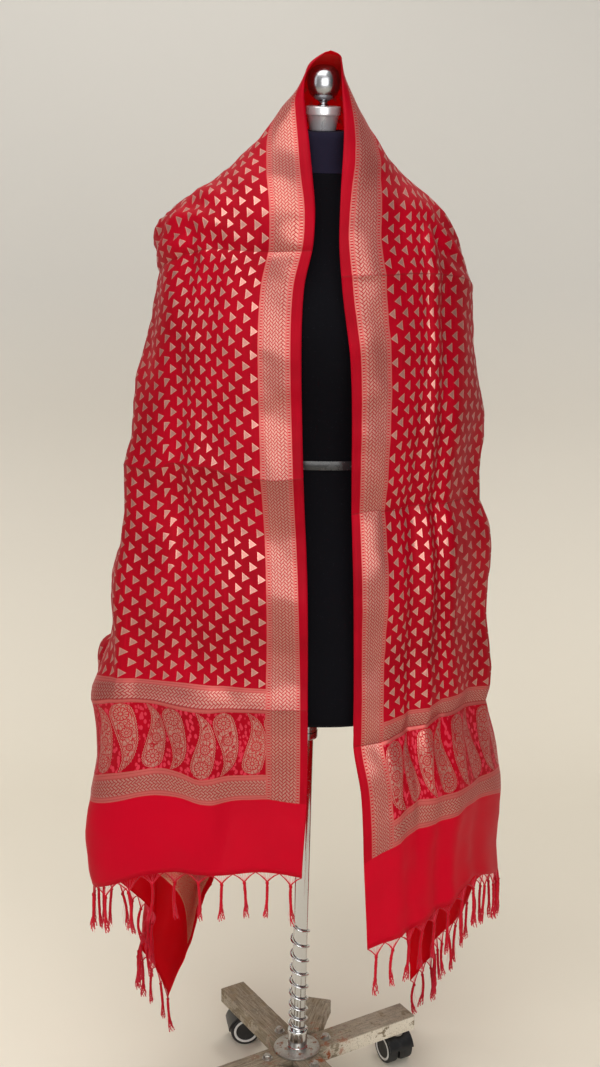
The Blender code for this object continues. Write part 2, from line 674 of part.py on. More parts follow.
def build_castor(number, bearing, trail):
    """A twin-wheel castor: the housing swivels about its stem and the wheel pair turns in it."""
    x, y = CASTOR_AT * math.cos(bearing), CASTOR_AT * math.sin(bearing)
    black = ((0.012, 0.012, 0.014), 0.4)
    swivel = bpy.data.objects.new(f"castor_{number}_swivel", None)
    bpy.context.scene.collection.objects.link(swivel)
    swivel.location = (x, y, 0)
    swivel.rotation_euler = (0, 0, trail)
    # The hood: an arc over both wheels, a web between them and the stem above.
    inner, outer = WHEEL_RADIUS + 0.0012, WHEEL_RADIUS + 0.0040
    first, last, steps = math.radians(-8), math.radians(168), 7
    arc = [first + (last - first) * k / steps for k in range(steps + 1)]
    hood = [(outer * math.cos(t), outer * math.sin(t)) for t in arc]
    hood += [(inner * math.cos(t), inner * math.sin(t)) for t in reversed(arc)]
    rings = []
    for depth in (-TREAD_OUT, TREAD_OUT):
        rings.append([(FORK_TRAIL + u, depth, AXLE_HEIGHT + w) for u, w in hood])
    points, faces = stacked(rings)
    hood_object = add_object(f"castor_{number}_housing", points, faces, black)
    web_radius, bore = WHEEL_RADIUS + 0.0026, 0.0034
    sides = 12
    loops = []
    for radius, depth in ((bore, -WEB_HALF), (web_radius, -WEB_HALF), (web_radius, WEB_HALF), (bore, WEB_HALF)):
        ring = []
        for k in range(sides):
            # The web reaches the hood above and stops short of the floor below.
            turn = 2 * math.pi * k / sides
            reach = radius if radius == bore or math.sin(turn) > -0.2 else radius * 0.62
            ring.append((FORK_TRAIL + reach * math.cos(turn), depth, AXLE_HEIGHT + reach * math.sin(turn)))
        loops.append(ring)
    points, faces = stacked(loops, closed=True)
    web = add_object(f"castor_{number}_web", points, faces, black)
    stem_profile = [
        (0.0, 2 * WHEEL_RADIUS + 0.0005), (0.0085, 2 * WHEEL_RADIUS + 0.0005), (0.0085, CROSS_BOTTOM - 0.0035),
        (0.0110, CROSS_BOTTOM - 0.0030), (0.0110, CROSS_BOTTOM - GAP), (0.0, CROSS_BOTTOM - GAP),
    ]
    stem = turned(f"castor_{number}_stem", stem_profile, black, 10)
    for tool in (web, stem):
        tool.parent = swivel
        tool.hide_render = True
        tool.display_type = "WIRE"
        join = hood_object.modifiers.new(tool.name, "BOOLEAN")
        join.operation = "UNION"
        join.object = tool
    wheel_profile = [
        (0.0, -TREAD_OUT), (WHEEL_RADIUS - 0.0025, -TREAD_OUT), (WHEEL_RADIUS, -TREAD_OUT + 0.0025),
        (WHEEL_RADIUS, -WEB_HALF - 0.0010), (0.0028, -WEB_HALF - 0.0010),
    ]
    wheel_profile += [(radius, -height) for radius, height in reversed(wheel_profile)]
    wheels = turned(f"castor_{number}_wheels", wheel_profile, ((0.02, 0.02, 0.02), 0.5), WHEEL_SIDES)
    wheels.location = (FORK_TRAIL, 0, AXLE_HEIGHT)
    # One flat of the tread rests on the floor.
    wheels.rotation_euler = (math.pi / 2, math.pi / WHEEL_SIDES, 0)
    for piece in (hood_object, wheels):
        piece.parent = swivel


# ---------------------------------------------------------------- the stole's solids


def fan_rays(length):
    """The cloth's edge points that its grid lines run to, from the front corner to the middle."""
    end = np.linspace(0, CLOTH_WIDTH, TASSELS + 1)
    rear = np.linspace(length, 0, REAR_CELLS + 1)[1:]
    along = np.concatenate([np.full(len(end), length), rear])
    across = np.concatenate([end, np.full(len(rear), CLOTH_WIDTH)])
    return along, across


def fan_points(half, length, shares):
    """A grid over one half of the cloth: a row for each share of the way from the peak."""
    along, across = fan_rays(length)
    share = np.asarray(shares)[:, None]
    return drape(half, share * along, share * across)


def wall_normals(grid):
    """Unit normals of a grid of points whose first row is one point."""
    normal = np.cross(np.gradient(grid, axis=1), np.gradient(grid, axis=0))
    normal[0] = np.mean(normal[1] / np.linalg.norm(normal[1], axis=1)[:, None], axis=0)
    return normal / np.maximum(np.linalg.norm(normal, axis=2, keepdims=True), 1e-12)


def walled(grid, normal, pointed=False):
    """A closed wall, half its thickness to each side of a grid; pointed: row 0 is one point."""
    rows, columns = grid.shape[:2]
    points = np.concatenate([grid + normal * WALL / 2, grid - normal * WALL / 2])
    points = points.reshape(-1, 3)
    count = rows * columns
    faces = []
    for r in range(rows - 1):
        for c in range(columns - 1):
            a = r * columns + c
            faces.append((a, a + 1, a + columns + 1, a + columns))
            faces.append((count + a, count + a + columns, count + a + columns + 1, count + a + 1))
    rim = [r * columns + columns - 1 for r in range(rows)]
    rim += [(rows - 1) * columns + c for c in range(columns - 2, -1, -1)]
    rim += [r * columns for r in range(rows - 2, -1, -1)]
    if not pointed:
        rim += list(range(1, columns - 1))
    for a, b in zip(rim, rim[1:] + rim[:1]):
        faces.append((a, count + a, count + b, b))
    return points, faces


def merged(made):
    """Joins the points of a solid that coincide."""
    shaper = bmesh.new()
    shaper.from_mesh(made.data)
    bmesh.ops.remove_doubles(shaper, verts=shaper.verts, dist=1e-6)
    bmesh.ops.dissolve_degenerate(shaper, edges=shaper.edges, dist=1e-7)
    bmesh.ops.recalc_face_normals(shaper, faces=shaper.faces)
    shaper.to_mesh(made.data)
    shaper.free()


def shifted(line, toward, distance):
    """A line of grid points moved toward the matching points of another line."""
    step = toward - line
    return line + step / np.linalg.norm(step, axis=1)[:, None] * distance


def build_cloth(halves):
    """The stole in three stretches, and the grid and normals that its fringes follow."""
    red = ((0.55, 0.01, 0.03), 0.45)
    shares = list(HOOD_ROWS) + list(np.linspace(HOOD_ROWS[-1], 1, FALL_CELLS + 1)[1:])
    left = fan_points(halves[-1], LEFT_LENGTH, shares)
    right = fan_points(halves[1], RIGHT_LENGTH, shares)
    middle = (left[:, -1:] + right[:, -1:]) / 2
    grid = np.concatenate([left[:, :-1], middle, right[:, -2::-1]], axis=1)
    grid[0] = grid[0].mean(axis=0)
    normal = wall_normals(grid)
    seam = len(HOOD_ROWS) - 1
    hood = grid[: seam + 1].copy()
    hood[seam] = shifted(grid[seam], grid[seam - 1], GAP / 2)
    points, faces = walled(hood, normal[: seam + 1], pointed=True)
    merged(add_object("stole_hood", points, faces, red))
    falls = grid[seam:].copy()
    falls[0] = shifted(grid[seam], grid[seam + 1], GAP / 2)
    centre = left.shape[1] - 1
    for name, span, away in (("stole_left", slice(0, centre + 1), -1), ("stole_right", slice(centre, None), 1)):
        half = falls[:, span].copy()
        edge = -1 if away < 0 else 0
        half[:, edge] = shifted(falls[:, centre], falls[:, centre + away], GAP / 2)
        points, faces = walled(half, normal[seam:, span])
        add_object(name, points, faces, red)
    return grid, normal


def build_fringe(name, before, end, normal):
    """The knotted tassels along one end, on their own narrow strip of the cloth.

    before and end are the cloth's last two lines of points there, from the front corner back.
    """
    down = end - before
    down /= np.linalg.norm(down, axis=1)[:, None]
    # Each cell of the cloth's end edge carries one tassel's root in its middle.
    half_root = TASSEL_ROOT / 2 / (CLOTH_WIDTH / TASSELS)
    cells = np.arange(TASSELS) + 0.5
    stops = np.concatenate([np.arange(TASSELS + 1), cells - half_root, cells + half_root])
    stops = np.sort(stops)
    cell = np.clip(stops.astype(int), 0, TASSELS - 1)
    part = (stops - cell)[:, None]

    def between(line):
        return line[cell] * (1 - part) + line[cell + 1] * part

    side = between(normal) * STRIP_WALL / 2
    near = between(end + down * STRIP_GAP)
    far = between(end + down * (STRIP_GAP + STRIP_WIDTH))
    count = len(stops)
    points = list(np.concatenate([near + side, far + side, far - side, near - side]))
    faces = []
    for c in range(count - 1):
        for row in range(4):
            a, b = row * count + c, (row + 1) % 4 * count + c
            if row != 1 or c % 3 != 1:
                faces.append((a, a + 1, b + 1, b))
    faces.append(tuple(row * count for row in range(4)))
    faces.append(tuple(row * count + count - 1 for row in range(3, -1, -1)))
    for c in range(1, count - 1, 3):
        ring = [count + c, count + c + 1, 2 * count + c + 1, 2 * count + c]
        middle = np.mean([points[k] for k in ring], axis=0)
        wide = points[ring[1]] - points[ring[0]]
        wide[2] = 0
        wide /= np.linalg.norm(wide)
        thick = np.array([-wide[1], wide[0], 0])
        if np.dot(thick, side[c]) < 0:
            thick = -thick
        # Where the end runs steeply, the tassels hang just outside the cloth beside them.
        edge = end[c // 3 + 1] - end[c // 3]
        clear = TASSEL_CLEAR * ramp(abs(edge[2]) / np.linalg.norm(edge), 0.35, 0.75)
        for drop, half_wide, half_thick in TASSEL_SECTIONS:
            centre = middle - np.array([0, 0, drop]) + thick * clear
            first = len(points)
            for a, b in ((-1, 1), (1, 1), (1, -1), (-1, -1)):
                points.append(centre + wide * half_wide * a + thick * half_thick * b)
            new = [first, first + 1, first + 2, first + 3]
            for k in range(4):
                faces.append((ring[k], ring[(k + 1) % 4], new[(k + 1) % 4], new[k]))
            ring = new
        faces.append(tuple(ring))
    add_object(name, points, faces, ((0.6, 0.01, 0.03), 0.6))


def centre_on_floor():
    """Moves the whole so that it stands centred over X = Y = 0."""
    bpy.context.view_layer.update()
    graph = bpy.context.evaluated_depsgraph_get()
    low, high = np.full(3, np.inf), np.full(3, -np.inf)
    for piece in bpy.data.objects:
        if piece.type != "MESH" or piece.hide_render:
            continue
        evaluated = piece.evaluated_get(graph)
        mesh = evaluated.to_mesh()
        points = np.empty(3 * len(mesh.vertices), np.float32)
        mesh.vertices.foreach_get("co", points)
        world = np.array(evaluated.matrix_world)
        points = points.reshape(-1, 3) @ world[:3, :3].T + world[:3, 3]
        evaluated.to_mesh_clear()
        low, high = np.minimum(low, points.min(axis=0)), np.maximum(high, points.max(axis=0))
    shift = Vector((-(low[0] + high[0]) / 2, -(low[1] + high[1]) / 2, -low[2]))
    for piece in bpy.data.objects:
        if piece.parent is None:
            piece.location += shift


def main():
    for old in list(bpy.data.objects):
        bpy.data.objects.remove(old, do_unlink=True)
    halves = {-1: Half(-1, LEFT_LEVELS, LEFT_REAR), 1: Half(1, RIGHT_LEVELS, RIGHT_REAR)}
    fold_walls(halves)
    grid, normal = build_cloth(halves)
    ends = slice(0, TASSELS + 1)
    build_fringe("fringe_left", grid[-2, ends], grid[-1, ends], normal[-1, ends])
    back = slice(None, -TASSELS - 2, -1)
    build_fringe("fringe_right", grid[-2, back], grid[-1, back], normal[-1, back])
    frame = leaning_frame()
    build_form(frame)
    build_pole(frame)
    build_stand()
    for number, trail in enumerate(CASTOR_TURNS):
        build_castor(number + 1, LEG_TURN + number * math.pi / 2, trail)
    centre_on_floor()


main()
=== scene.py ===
"""A red silk dupatta stole with woven zari, draped over a limbless dress form on a castor stand.

Metres, +Z up, the front of the form towards -Y. The stole is one thin sheet hung from the same
level curves as its solids. Its weave is laid out on the flat cloth: across it from the front
selvedge, and along it from the point over the finial.
"""

import math

import bmesh
import bpy
import numpy as np
from mathutils import Matrix, Vector, noise


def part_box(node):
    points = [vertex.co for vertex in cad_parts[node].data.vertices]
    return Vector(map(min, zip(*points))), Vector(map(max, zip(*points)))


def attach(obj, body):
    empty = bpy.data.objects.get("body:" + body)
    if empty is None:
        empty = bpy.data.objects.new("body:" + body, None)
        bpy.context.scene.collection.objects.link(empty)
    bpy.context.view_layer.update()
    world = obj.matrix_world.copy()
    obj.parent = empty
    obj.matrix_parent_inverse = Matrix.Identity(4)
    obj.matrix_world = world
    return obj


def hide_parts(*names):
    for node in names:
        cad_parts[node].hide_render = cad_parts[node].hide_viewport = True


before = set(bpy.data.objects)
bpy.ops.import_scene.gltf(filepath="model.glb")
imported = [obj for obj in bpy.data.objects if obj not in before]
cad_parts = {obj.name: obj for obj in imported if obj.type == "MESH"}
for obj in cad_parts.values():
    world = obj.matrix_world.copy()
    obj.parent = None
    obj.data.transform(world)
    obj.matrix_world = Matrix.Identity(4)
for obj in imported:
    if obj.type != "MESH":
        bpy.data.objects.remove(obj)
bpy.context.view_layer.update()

# The tables below are measured from the pole's foot, which is off the middle of the whole.
plate_low, plate_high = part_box("hub_plate")
CENTRE = Vector(((plate_low.x + plate_high.x) / 2, (plate_low.y + plate_high.y) / 2, 0))


def link(made):
    bpy.context.scene.collection.objects.link(made)
    return made


# ---------------------------------------------------------------- the camera and the light

LENS = 55.97  # of a frame 36 mm high
LOOKING_DOWN = math.radians(16.9)
CAMERA_AT = Vector((0.005, -2.2, 1.58))
WARM, NEUTRAL, COOL = (1.0, 0.98, 0.95), (1.0, 0.985, 0.965), (0.99, 0.99, 1.0)
LIGHTS = [
    # name, place, aim, width, height, power, colour
    ("overhead", (-0.4, -1.2, 3.1), (0, 0, 0.9), 2.4, 1.6, 40, WARM),
    ("front", (0.5, -3.6, 1.5), (0, 0, 0.75), 3.0, 2.2, 72, NEUTRAL),
    ("left", (-3.0, -1.4, 1.8), (0, 0, 0.8), 1.6, 2.4, 16, COOL),
    ("wall", (-1.2, 0.9, 3.3), (-0.9, 2.2, 0.6), 2.4, 0.8, 12, WARM),
    ("back", (0.3, 1.0, 2.5), (0.0, 0.0, 1.45), 0.7, 0.5, 12, WARM),
]
ROOM_SIDES = (0.55, 0.85)  # how far to the side the room starts and ends to darken
ROOM_STRENGTHS = (0.70, 0.10)


def add_camera():
    lens = bpy.data.cameras.new("camera")
    lens.sensor_fit = "VERTICAL"
    lens.sensor_height = 36
    lens.lens = LENS
    camera = link(bpy.data.objects.new("camera", lens))
    camera.location = CENTRE + CAMERA_AT
    camera.rotation_euler = (math.pi / 2 - LOOKING_DOWN, 0, 0)
    bpy.context.scene.camera = camera


def add_light(name, place, aim, width, height, power, colour):
    lamp = bpy.data.lights.new(name, "AREA")
    lamp.shape = "RECTANGLE"
    lamp.size, lamp.size_y = width, height
    lamp.energy = power
    lamp.color = colour
    made = link(bpy.data.objects.new(name, lamp))
    made.location = CENTRE + Vector(place)
    heading = Vector(aim) - Vector(place)
    made.rotation_euler = heading.to_track_quat("-Z", "Y").to_euler()


def add_lights():
    for row in LIGHTS:
        add_light(*row)
    world = bpy.data.worlds.new("room")
    world.use_nodes = True
    # The room is darker to the left and right, which gives the chrome its dark edges.
    room = Graph(world.node_tree)
    sideways = abs(room.parts(room.add("ShaderNodeTexCoord", {}))[0])
    strength = room.add("ShaderNodeMapRange", {}, [sideways, *ROOM_SIDES, *ROOM_STRENGTHS])
    shader = world.node_tree.nodes["Background"]
    room.plug(shader.inputs["Strength"], strength)
    room.plug(shader.inputs["Color"], (0.78, 0.765, 0.745, 1))
    bpy.context.scene.world = world
    bpy.context.scene.view_settings.view_transform = "Standard"


# ---------------------------------------------------------------- nodes


class Number:
    """A value in a graph of nodes: arithmetic on it adds the Math nodes."""

    def __init__(self, graph, socket):
        self.graph = graph
        self.socket = socket

    def maths(self, operation, *others):
        return self.graph.add("ShaderNodeMath", {"operation": operation}, [self, *others])

    def __rsub__(self, other):
        return self.graph.add("ShaderNodeMath", {"operation": "SUBTRACT"}, [other, self])

    def __neg__(self):
        return self * -1.0

    def within(self, low, high):
        """1 between the two values, 0 outside."""
        return (self > low) * (self < high)

    def rising(self, start, end):
        """0 before start and 1 past end, with a straight rise."""
        return self.graph.add("ShaderNodeMapRange", {"clamp": True}, [self, start, end, 0.0, 1.0])


def add_operation(method, operation):
    """Gives Number a method that adds one kind of Math node."""
    setattr(Number, method, lambda number, *others: number.maths(operation, *others))


for method, operation in (
    ("__add__", "ADD"), ("__radd__", "ADD"), ("__sub__", "SUBTRACT"), ("__mul__", "MULTIPLY"),
    ("__rmul__", "MULTIPLY"), ("__truediv__", "DIVIDE"), ("__mod__", "FLOORED_MODULO"),
    ("__pow__", "POWER"), ("__lt__", "LESS_THAN"), ("__gt__", "GREATER_THAN"), ("__abs__", "ABSOLUTE"),
    ("floor", "FLOOR"), ("sine", "SINE"), ("root", "SQRT"), ("least", "MINIMUM"), ("most", "MAXIMUM"),
):
    add_operation(method, operation)


class Graph:
    """A tree of nodes."""

    def __init__(self, tree):
        self.tree = tree

    def add(self, kind, settings, values=(), out=0):
        """A node of this type: its settings, then its sockets' values or links, in order or by name."""
        node = self.tree.nodes.new(kind)
        for setting, value in settings.items():
            setattr(node, setting, value)
        pairs = values.items() if isinstance(values, dict) else enumerate(values)
        for socket, value in pairs:
            self.plug(node.inputs[socket], value)
        return Number(self, node.outputs[out])

    def plug(self, socket, value):
        if isinstance(value, Number):
            self.tree.links.new(value.socket, socket)
        else:
            socket.default_value = value

    def parts(self, vector):
        """X, Y and Z of a vector."""
        node = self.tree.nodes.new("ShaderNodeSeparateXYZ")
        self.plug(node.inputs[0], vector)
        return [Number(self, socket) for socket in node.outputs]

    def vector(self, x, y, z):
        return self.add("ShaderNodeCombineXYZ", {}, [x, y, z])

    def attribute(self, label):
        """A number that each point of a Geometry Nodes guide carries."""
        settings = {"data_type": "FLOAT"}
        return self.add("GeometryNodeInputNamedAttribute", settings, {"Name": label})

    def emit(self, geometry, material):
        """The tree's result: plain mesh in one material."""
        solid = self.add("GeometryNodeRealizeInstances", {}, [geometry])
        dressed = self.add("GeometryNodeSetMaterial", {}, {"Geometry": solid, "Material": material})
        self.plug(self.tree.nodes.new("NodeGroupOutput").inputs[0], dressed)


def growing_graph(name, **inputs):
    """An empty Geometry Nodes graph and its inputs by name, each given as (type, value)."""
    tree = bpy.data.node_groups.new(name, "GeometryNodeTree")
    for label, (kind, value) in inputs.items():
        made = tree.interface.new_socket(label, in_out="INPUT", socket_type="NodeSocket" + kind)
        if value is not None:
            made.default_value = value
    tree.interface.new_socket("Made", in_out="OUTPUT", socket_type="NodeSocketGeometry")
    graph = Graph(tree)
    given = tree.nodes.new("NodeGroupInput")
    return graph, {label: Number(graph, given.outputs[label]) for label in inputs}


class Finish(Graph):
    """One material and its nodes."""

    def __init__(self, name, **constants):
        self.material = bpy.data.materials.new(name)
        self.material.use_nodes = True
        super().__init__(self.material.node_tree)
        self.shader = self.tree.nodes["Principled BSDF"]
        for socket, value in constants.items():
            self.shader.inputs[socket.replace("_", " ")].default_value = value

    def set(self, **links):
        for socket, value in links.items():
            self.plug(self.shader.inputs[socket.replace("_", " ")], value)

    def place(self, out="Object"):
        return self.add("ShaderNodeTexCoord", {}, out=out)

    def stretched(self, vector, x, y, z):
        return self.add("ShaderNodeMapping", {}, {"Vector": vector, "Scale": (x, y, z)})

    def noise(self, vector, scale, detail=3.0, roughness=0.55):
        values = {"Vector": vector, "Scale": scale, "Detail": detail, "Roughness": roughness}
        return self.add("ShaderNodeTexNoise", {}, values)

    def cells(self, vector, scale, feature="DISTANCE_TO_EDGE"):
        return self.add("ShaderNodeTexVoronoi", {"feature": feature}, {"Vector": vector, "Scale": scale})

    def blend(self, share, first, second):
        """A colour between two colours."""
        node = self.tree.nodes.new("ShaderNodeMix")
        node.data_type = "RGBA"
        node.clamp_factor = True
        self.plug(node.inputs[0], share)
        for socket, value in ((node.inputs[6], first), (node.inputs[7], second)):
            self.plug(socket, value if isinstance(value, Number) else (*value, 1.0))
        return Number(self, node.outputs[2])

    def relief(self, height, distance, strength):
        return self.add("ShaderNodeBump", {}, {"Height": height, "Distance": distance, "Strength": strength})


def shade(red, green, blue):
    """A screen colour, 0 to 255, as the light it stands for."""
    return tuple(((c / 255 + 0.055) / 1.055) ** 2.4 if c > 10 else c / 3294.6 for c in (red, green, blue))


# ---------------------------------------------------------------- the cloth's sizes

CLOTH_WIDTH = 0.92
TASSELS = 28  # on each end
SHEET = 0.0003  # half of the cloth's thickness

# ---------------------------------------------------------------- the drape

# The cloth hangs in level curves. Each row is one level: its height, the place of the front
# selvedge and the outermost point at the side. The middle of the back has its own table.
PEAK = 1.555
LEFT_LEVELS = [
    # height, edge_x, edge_y, side_x, side_y
    (1.555, 0.043, -0.028, 0.041, -0.026),
    (1.549, 0.033, -0.025, 0.030, -0.019),
    (1.540, 0.022, -0.024, 0.018, -0.010),
    (1.524, 0.0125, -0.023, 0.0100, -0.005),
    (1.506, 0.0105, -0.025, 0.0000, -0.005),
    (1.480, 0.0130, -0.034, -0.024, -0.007),
    (1.447, 0.0172, -0.051, -0.054, -0.008),
    (1.400, 0.0215, -0.080, -0.096, -0.009),
    (1.361, 0.0243, -0.106, -0.148, -0.009),
    (1.325, 0.0220, -0.126, -0.176, -0.009),
    (1.270, 0.0110, -0.134, -0.183, -0.010),
    (1.172, 0.0080, -0.133, -0.193, -0.012),
    (1.002, 0.0105, -0.130, -0.222, -0.018),
    (0.875, 0.0148, -0.128, -0.245, -0.020),
    (0.763, 0.0155, -0.126, -0.261, -0.020),
    (0.690, 0.0155, -0.125, -0.287, -0.021),
    (0.579, 0.0150, -0.124, -0.289, -0.035),
    (0.430, 0.0075, -0.120, -0.294, -0.058),
    (0.200, 0.0075, -0.120, -0.288, -0.060),
    (0.000, 0.0075, -0.120, -0.280, -0.060),
]
RIGHT_LEVELS = [
    (1.555, 0.043, -0.028, 0.045, -0.026),
    (1.549, 0.0545, -0.025, 0.0560, -0.020),
    (1.540, 0.0565, -0.024, 0.0585, -0.012),
    (1.524, 0.0575, -0.023, 0.0620, -0.005),
    (1.506, 0.0580, -0.025, 0.0700, -0.004),
    (1.480, 0.0590, -0.034, 0.083, -0.004),
    (1.447, 0.0585, -0.051, 0.098, -0.003),
    (1.400, 0.0560, -0.080, 0.130, 0.000),
    (1.361, 0.0540, -0.106, 0.1872, 0.002),
    (1.325, 0.0530, -0.126, 0.2132, 0.005),
    (1.270, 0.0560, -0.134, 0.2260, 0.008),
    (1.172, 0.0672, -0.134, 0.240, 0.016),
    (1.002, 0.0708, -0.132, 0.253, 0.031),
    (0.875, 0.0740, -0.131, 0.263, 0.043),
    (0.763, 0.0765, -0.130, 0.271, 0.056),
    (0.650, 0.0771, -0.130, 0.282, 0.066),
    (0.579, 0.0876, -0.130, 0.294, 0.076),
    (0.466, 0.0930, -0.130, 0.304, 0.098),
    (0.320, 0.1000, -0.128, 0.316, 0.115),
    (0.000, 0.1030, -0.128, 0.302, 0.120),
]
BACK_LEVELS = [
    # height, back_x, back_y, corner: how square the level curve lies on the flat cloth
    (1.555, 0.0430, -0.026, 2.0),
    (1.5405, 0.0370, 0.0110, 2.0),
    (1.532, 0.0360, 0.0260, 2.0),
    (1.512, 0.0355, 0.0315, 2.1),
    (1.480, 0.0350, 0.0350, 2.3),
    (1.440, 0.0340, 0.0500, 2.6),
    (1.400, 0.0330, 0.070, 3.0),
    (1.350, 0.0320, 0.104, 3.2),
    (1.300, 0.0300, 0.128, 3.0),
    (1.200, 0.0280, 0.165, 2.75),
    (1.050, 0.0250, 0.200, 2.6),
    (0.850, 0.0210, 0.230, 2.45),
    (0.707, 0.0180, 0.250, 2.35),
    (0.400, 0.0180, 0.250, 2.25),
    (0.000, 0.0180, 0.250, 2.25),
]
# Below the middle of the back each half ends at its own rear selvedge.
LEFT_REAR = [
    # height, rear_x, rear_y
    (0.707, 0.018, 0.250),
    (0.690, -0.070, 0.245),
    (0.650, -0.100, 0.235),
    (0.560, -0.110, 0.210),
    (0.400, -0.106, 0.150),
    (0.300, -0.132, 0.100),
    (0.160, -0.202, 0.040),
    (0.000, -0.222, 0.030),
]
RIGHT_REAR = [
    (0.707, 0.018, 0.250),
    (0.690, 0.095, 0.245),
    (0.650, 0.120, 0.235),
    (0.560, 0.140, 0.215),
    (0.400, 0.165, 0.195),
    (0.280, 0.178, 0.170),
    (0.180, 0.184, 0.145),
    (0.000, 0.186, 0.130),
]
PLEATS = 3.5  # the deep folds in each half of the back
MOST_SWING = 1.65  # radians: the most that a fold's wall turns from the outline
WIDEST_FOLD = 0.34  # of flat cloth, from the crest of one fold to the next
CORNER_NARROWING = 0.2  # how much narrower the folds are in the low corners
CORNER_LEVELS = (-0.60, -0.22)  # minus the heights where that starts and is full
# Minus the heights where the back's folds start and are at their full depth.
FOLD_LEVELS = (-1.36, -1.20)
LOW_CORNER = {-1: -0.10, 1: 0.03}  # added to the level curves' corner low down
LOW_CORNER_LEVELS = (-0.60, -0.20)  # minus the heights where that starts and is full
FRONT_SQUARE = {-1: 2.5, 1: 1.75}  # the outline's superellipse exponents
BACK_SQUARE = 2.2

# Soft folds in the front and sides, each running down the cloth.
FOLDS = [
    # side, from the selvedge, width, depth, top, bottom
    (-1, 0.165, 0.030, 0.006, 1.20, 0.72),
    (-1, 0.262, 0.016, -0.010, 1.30, 0.70),
    (-1, 0.150, 0.040, -0.005, 0.70, 0.30),
    (1, 0.142, 0.020, -0.007, 1.26, 0.30),
    (1, 0.215, 0.022, 0.006, 1.10, 0.30),
    (1, 0.262, 0.014, -0.008, 1.15, 0.60),
    (1, 0.120, 0.016, 0.008, 0.55, 0.20),
]


def hermite(x, xs, ys):
    """Monotone cubic through the points (xs, ys), with xs rising."""
    step = np.diff(xs)
    slope = np.diff(ys) / step
    tangent = np.concatenate([[slope[0]], (slope[:-1] + slope[1:]) / 2, [slope[-1]]])
    flat = slope[:-1] * slope[1:] <= 0
    tangent[1:-1][flat] = 0
    limit = 3 * np.minimum(np.abs(np.append(slope, slope[-1])), np.abs(np.insert(slope, 0, slope[0])))
    tangent = np.clip(tangent, -limit, limit)
    x = np.clip(x, xs[0], xs[-1])
    i = np.clip(np.searchsorted(xs, x, side="right") - 1, 0, len(step) - 1)
    t = (x - xs[i]) / step[i]
    return (
        ys[i] * (1 + 2 * t) * (1 - t) ** 2
        + ys[i + 1] * t * t * (3 - 2 * t)
        + step[i] * t * (1 - t) * (tangent[i] * (1 - t) - tangent[i + 1] * t)
    )


def columns_at(rows, heights):
    """Every column of a table of levels, read at these heights."""
    table = np.array(rows)[::-1]
    return [hermite(heights, table[:, 0], column) for column in table[:, 1:].T]


def ramp(x, start, end):
    """0 before start, 1 past end, and a smooth rise between them."""
    t = np.clip((x - start) / (end - start), 0, 1)
    return t * t * (3 - 2 * t)


def bessel(order, x):
    """Bessel function of the first kind by its integral: how a meander's sine folds share out."""
    turn = (np.arange(48) + 0.5) * math.pi / 48
    return np.mean(np.cos(order * turn - np.multiply.outer(x, np.sin(turn))), axis=-1)


def length_along(*coordinates):
    """Running length of a path, from 0, along its last axis."""
    steps = np.sqrt(sum(np.diff(c, axis=-1) ** 2 for c in coordinates))
    start = np.zeros(steps.shape[:-1] + (1,))
    return np.concatenate([start, np.cumsum(steps, axis=-1)], axis=-1)


def level_heights():
    """Heights of the levels, from the peak down, close together where the cloth is small."""
    return np.concatenate([
        PEAK - 0.075 * np.linspace(0, 1, 51) ** 1.5,
        np.linspace(1.4775, 1.2725, 83),
        np.linspace(1.270, 0.02, 220),
    ])


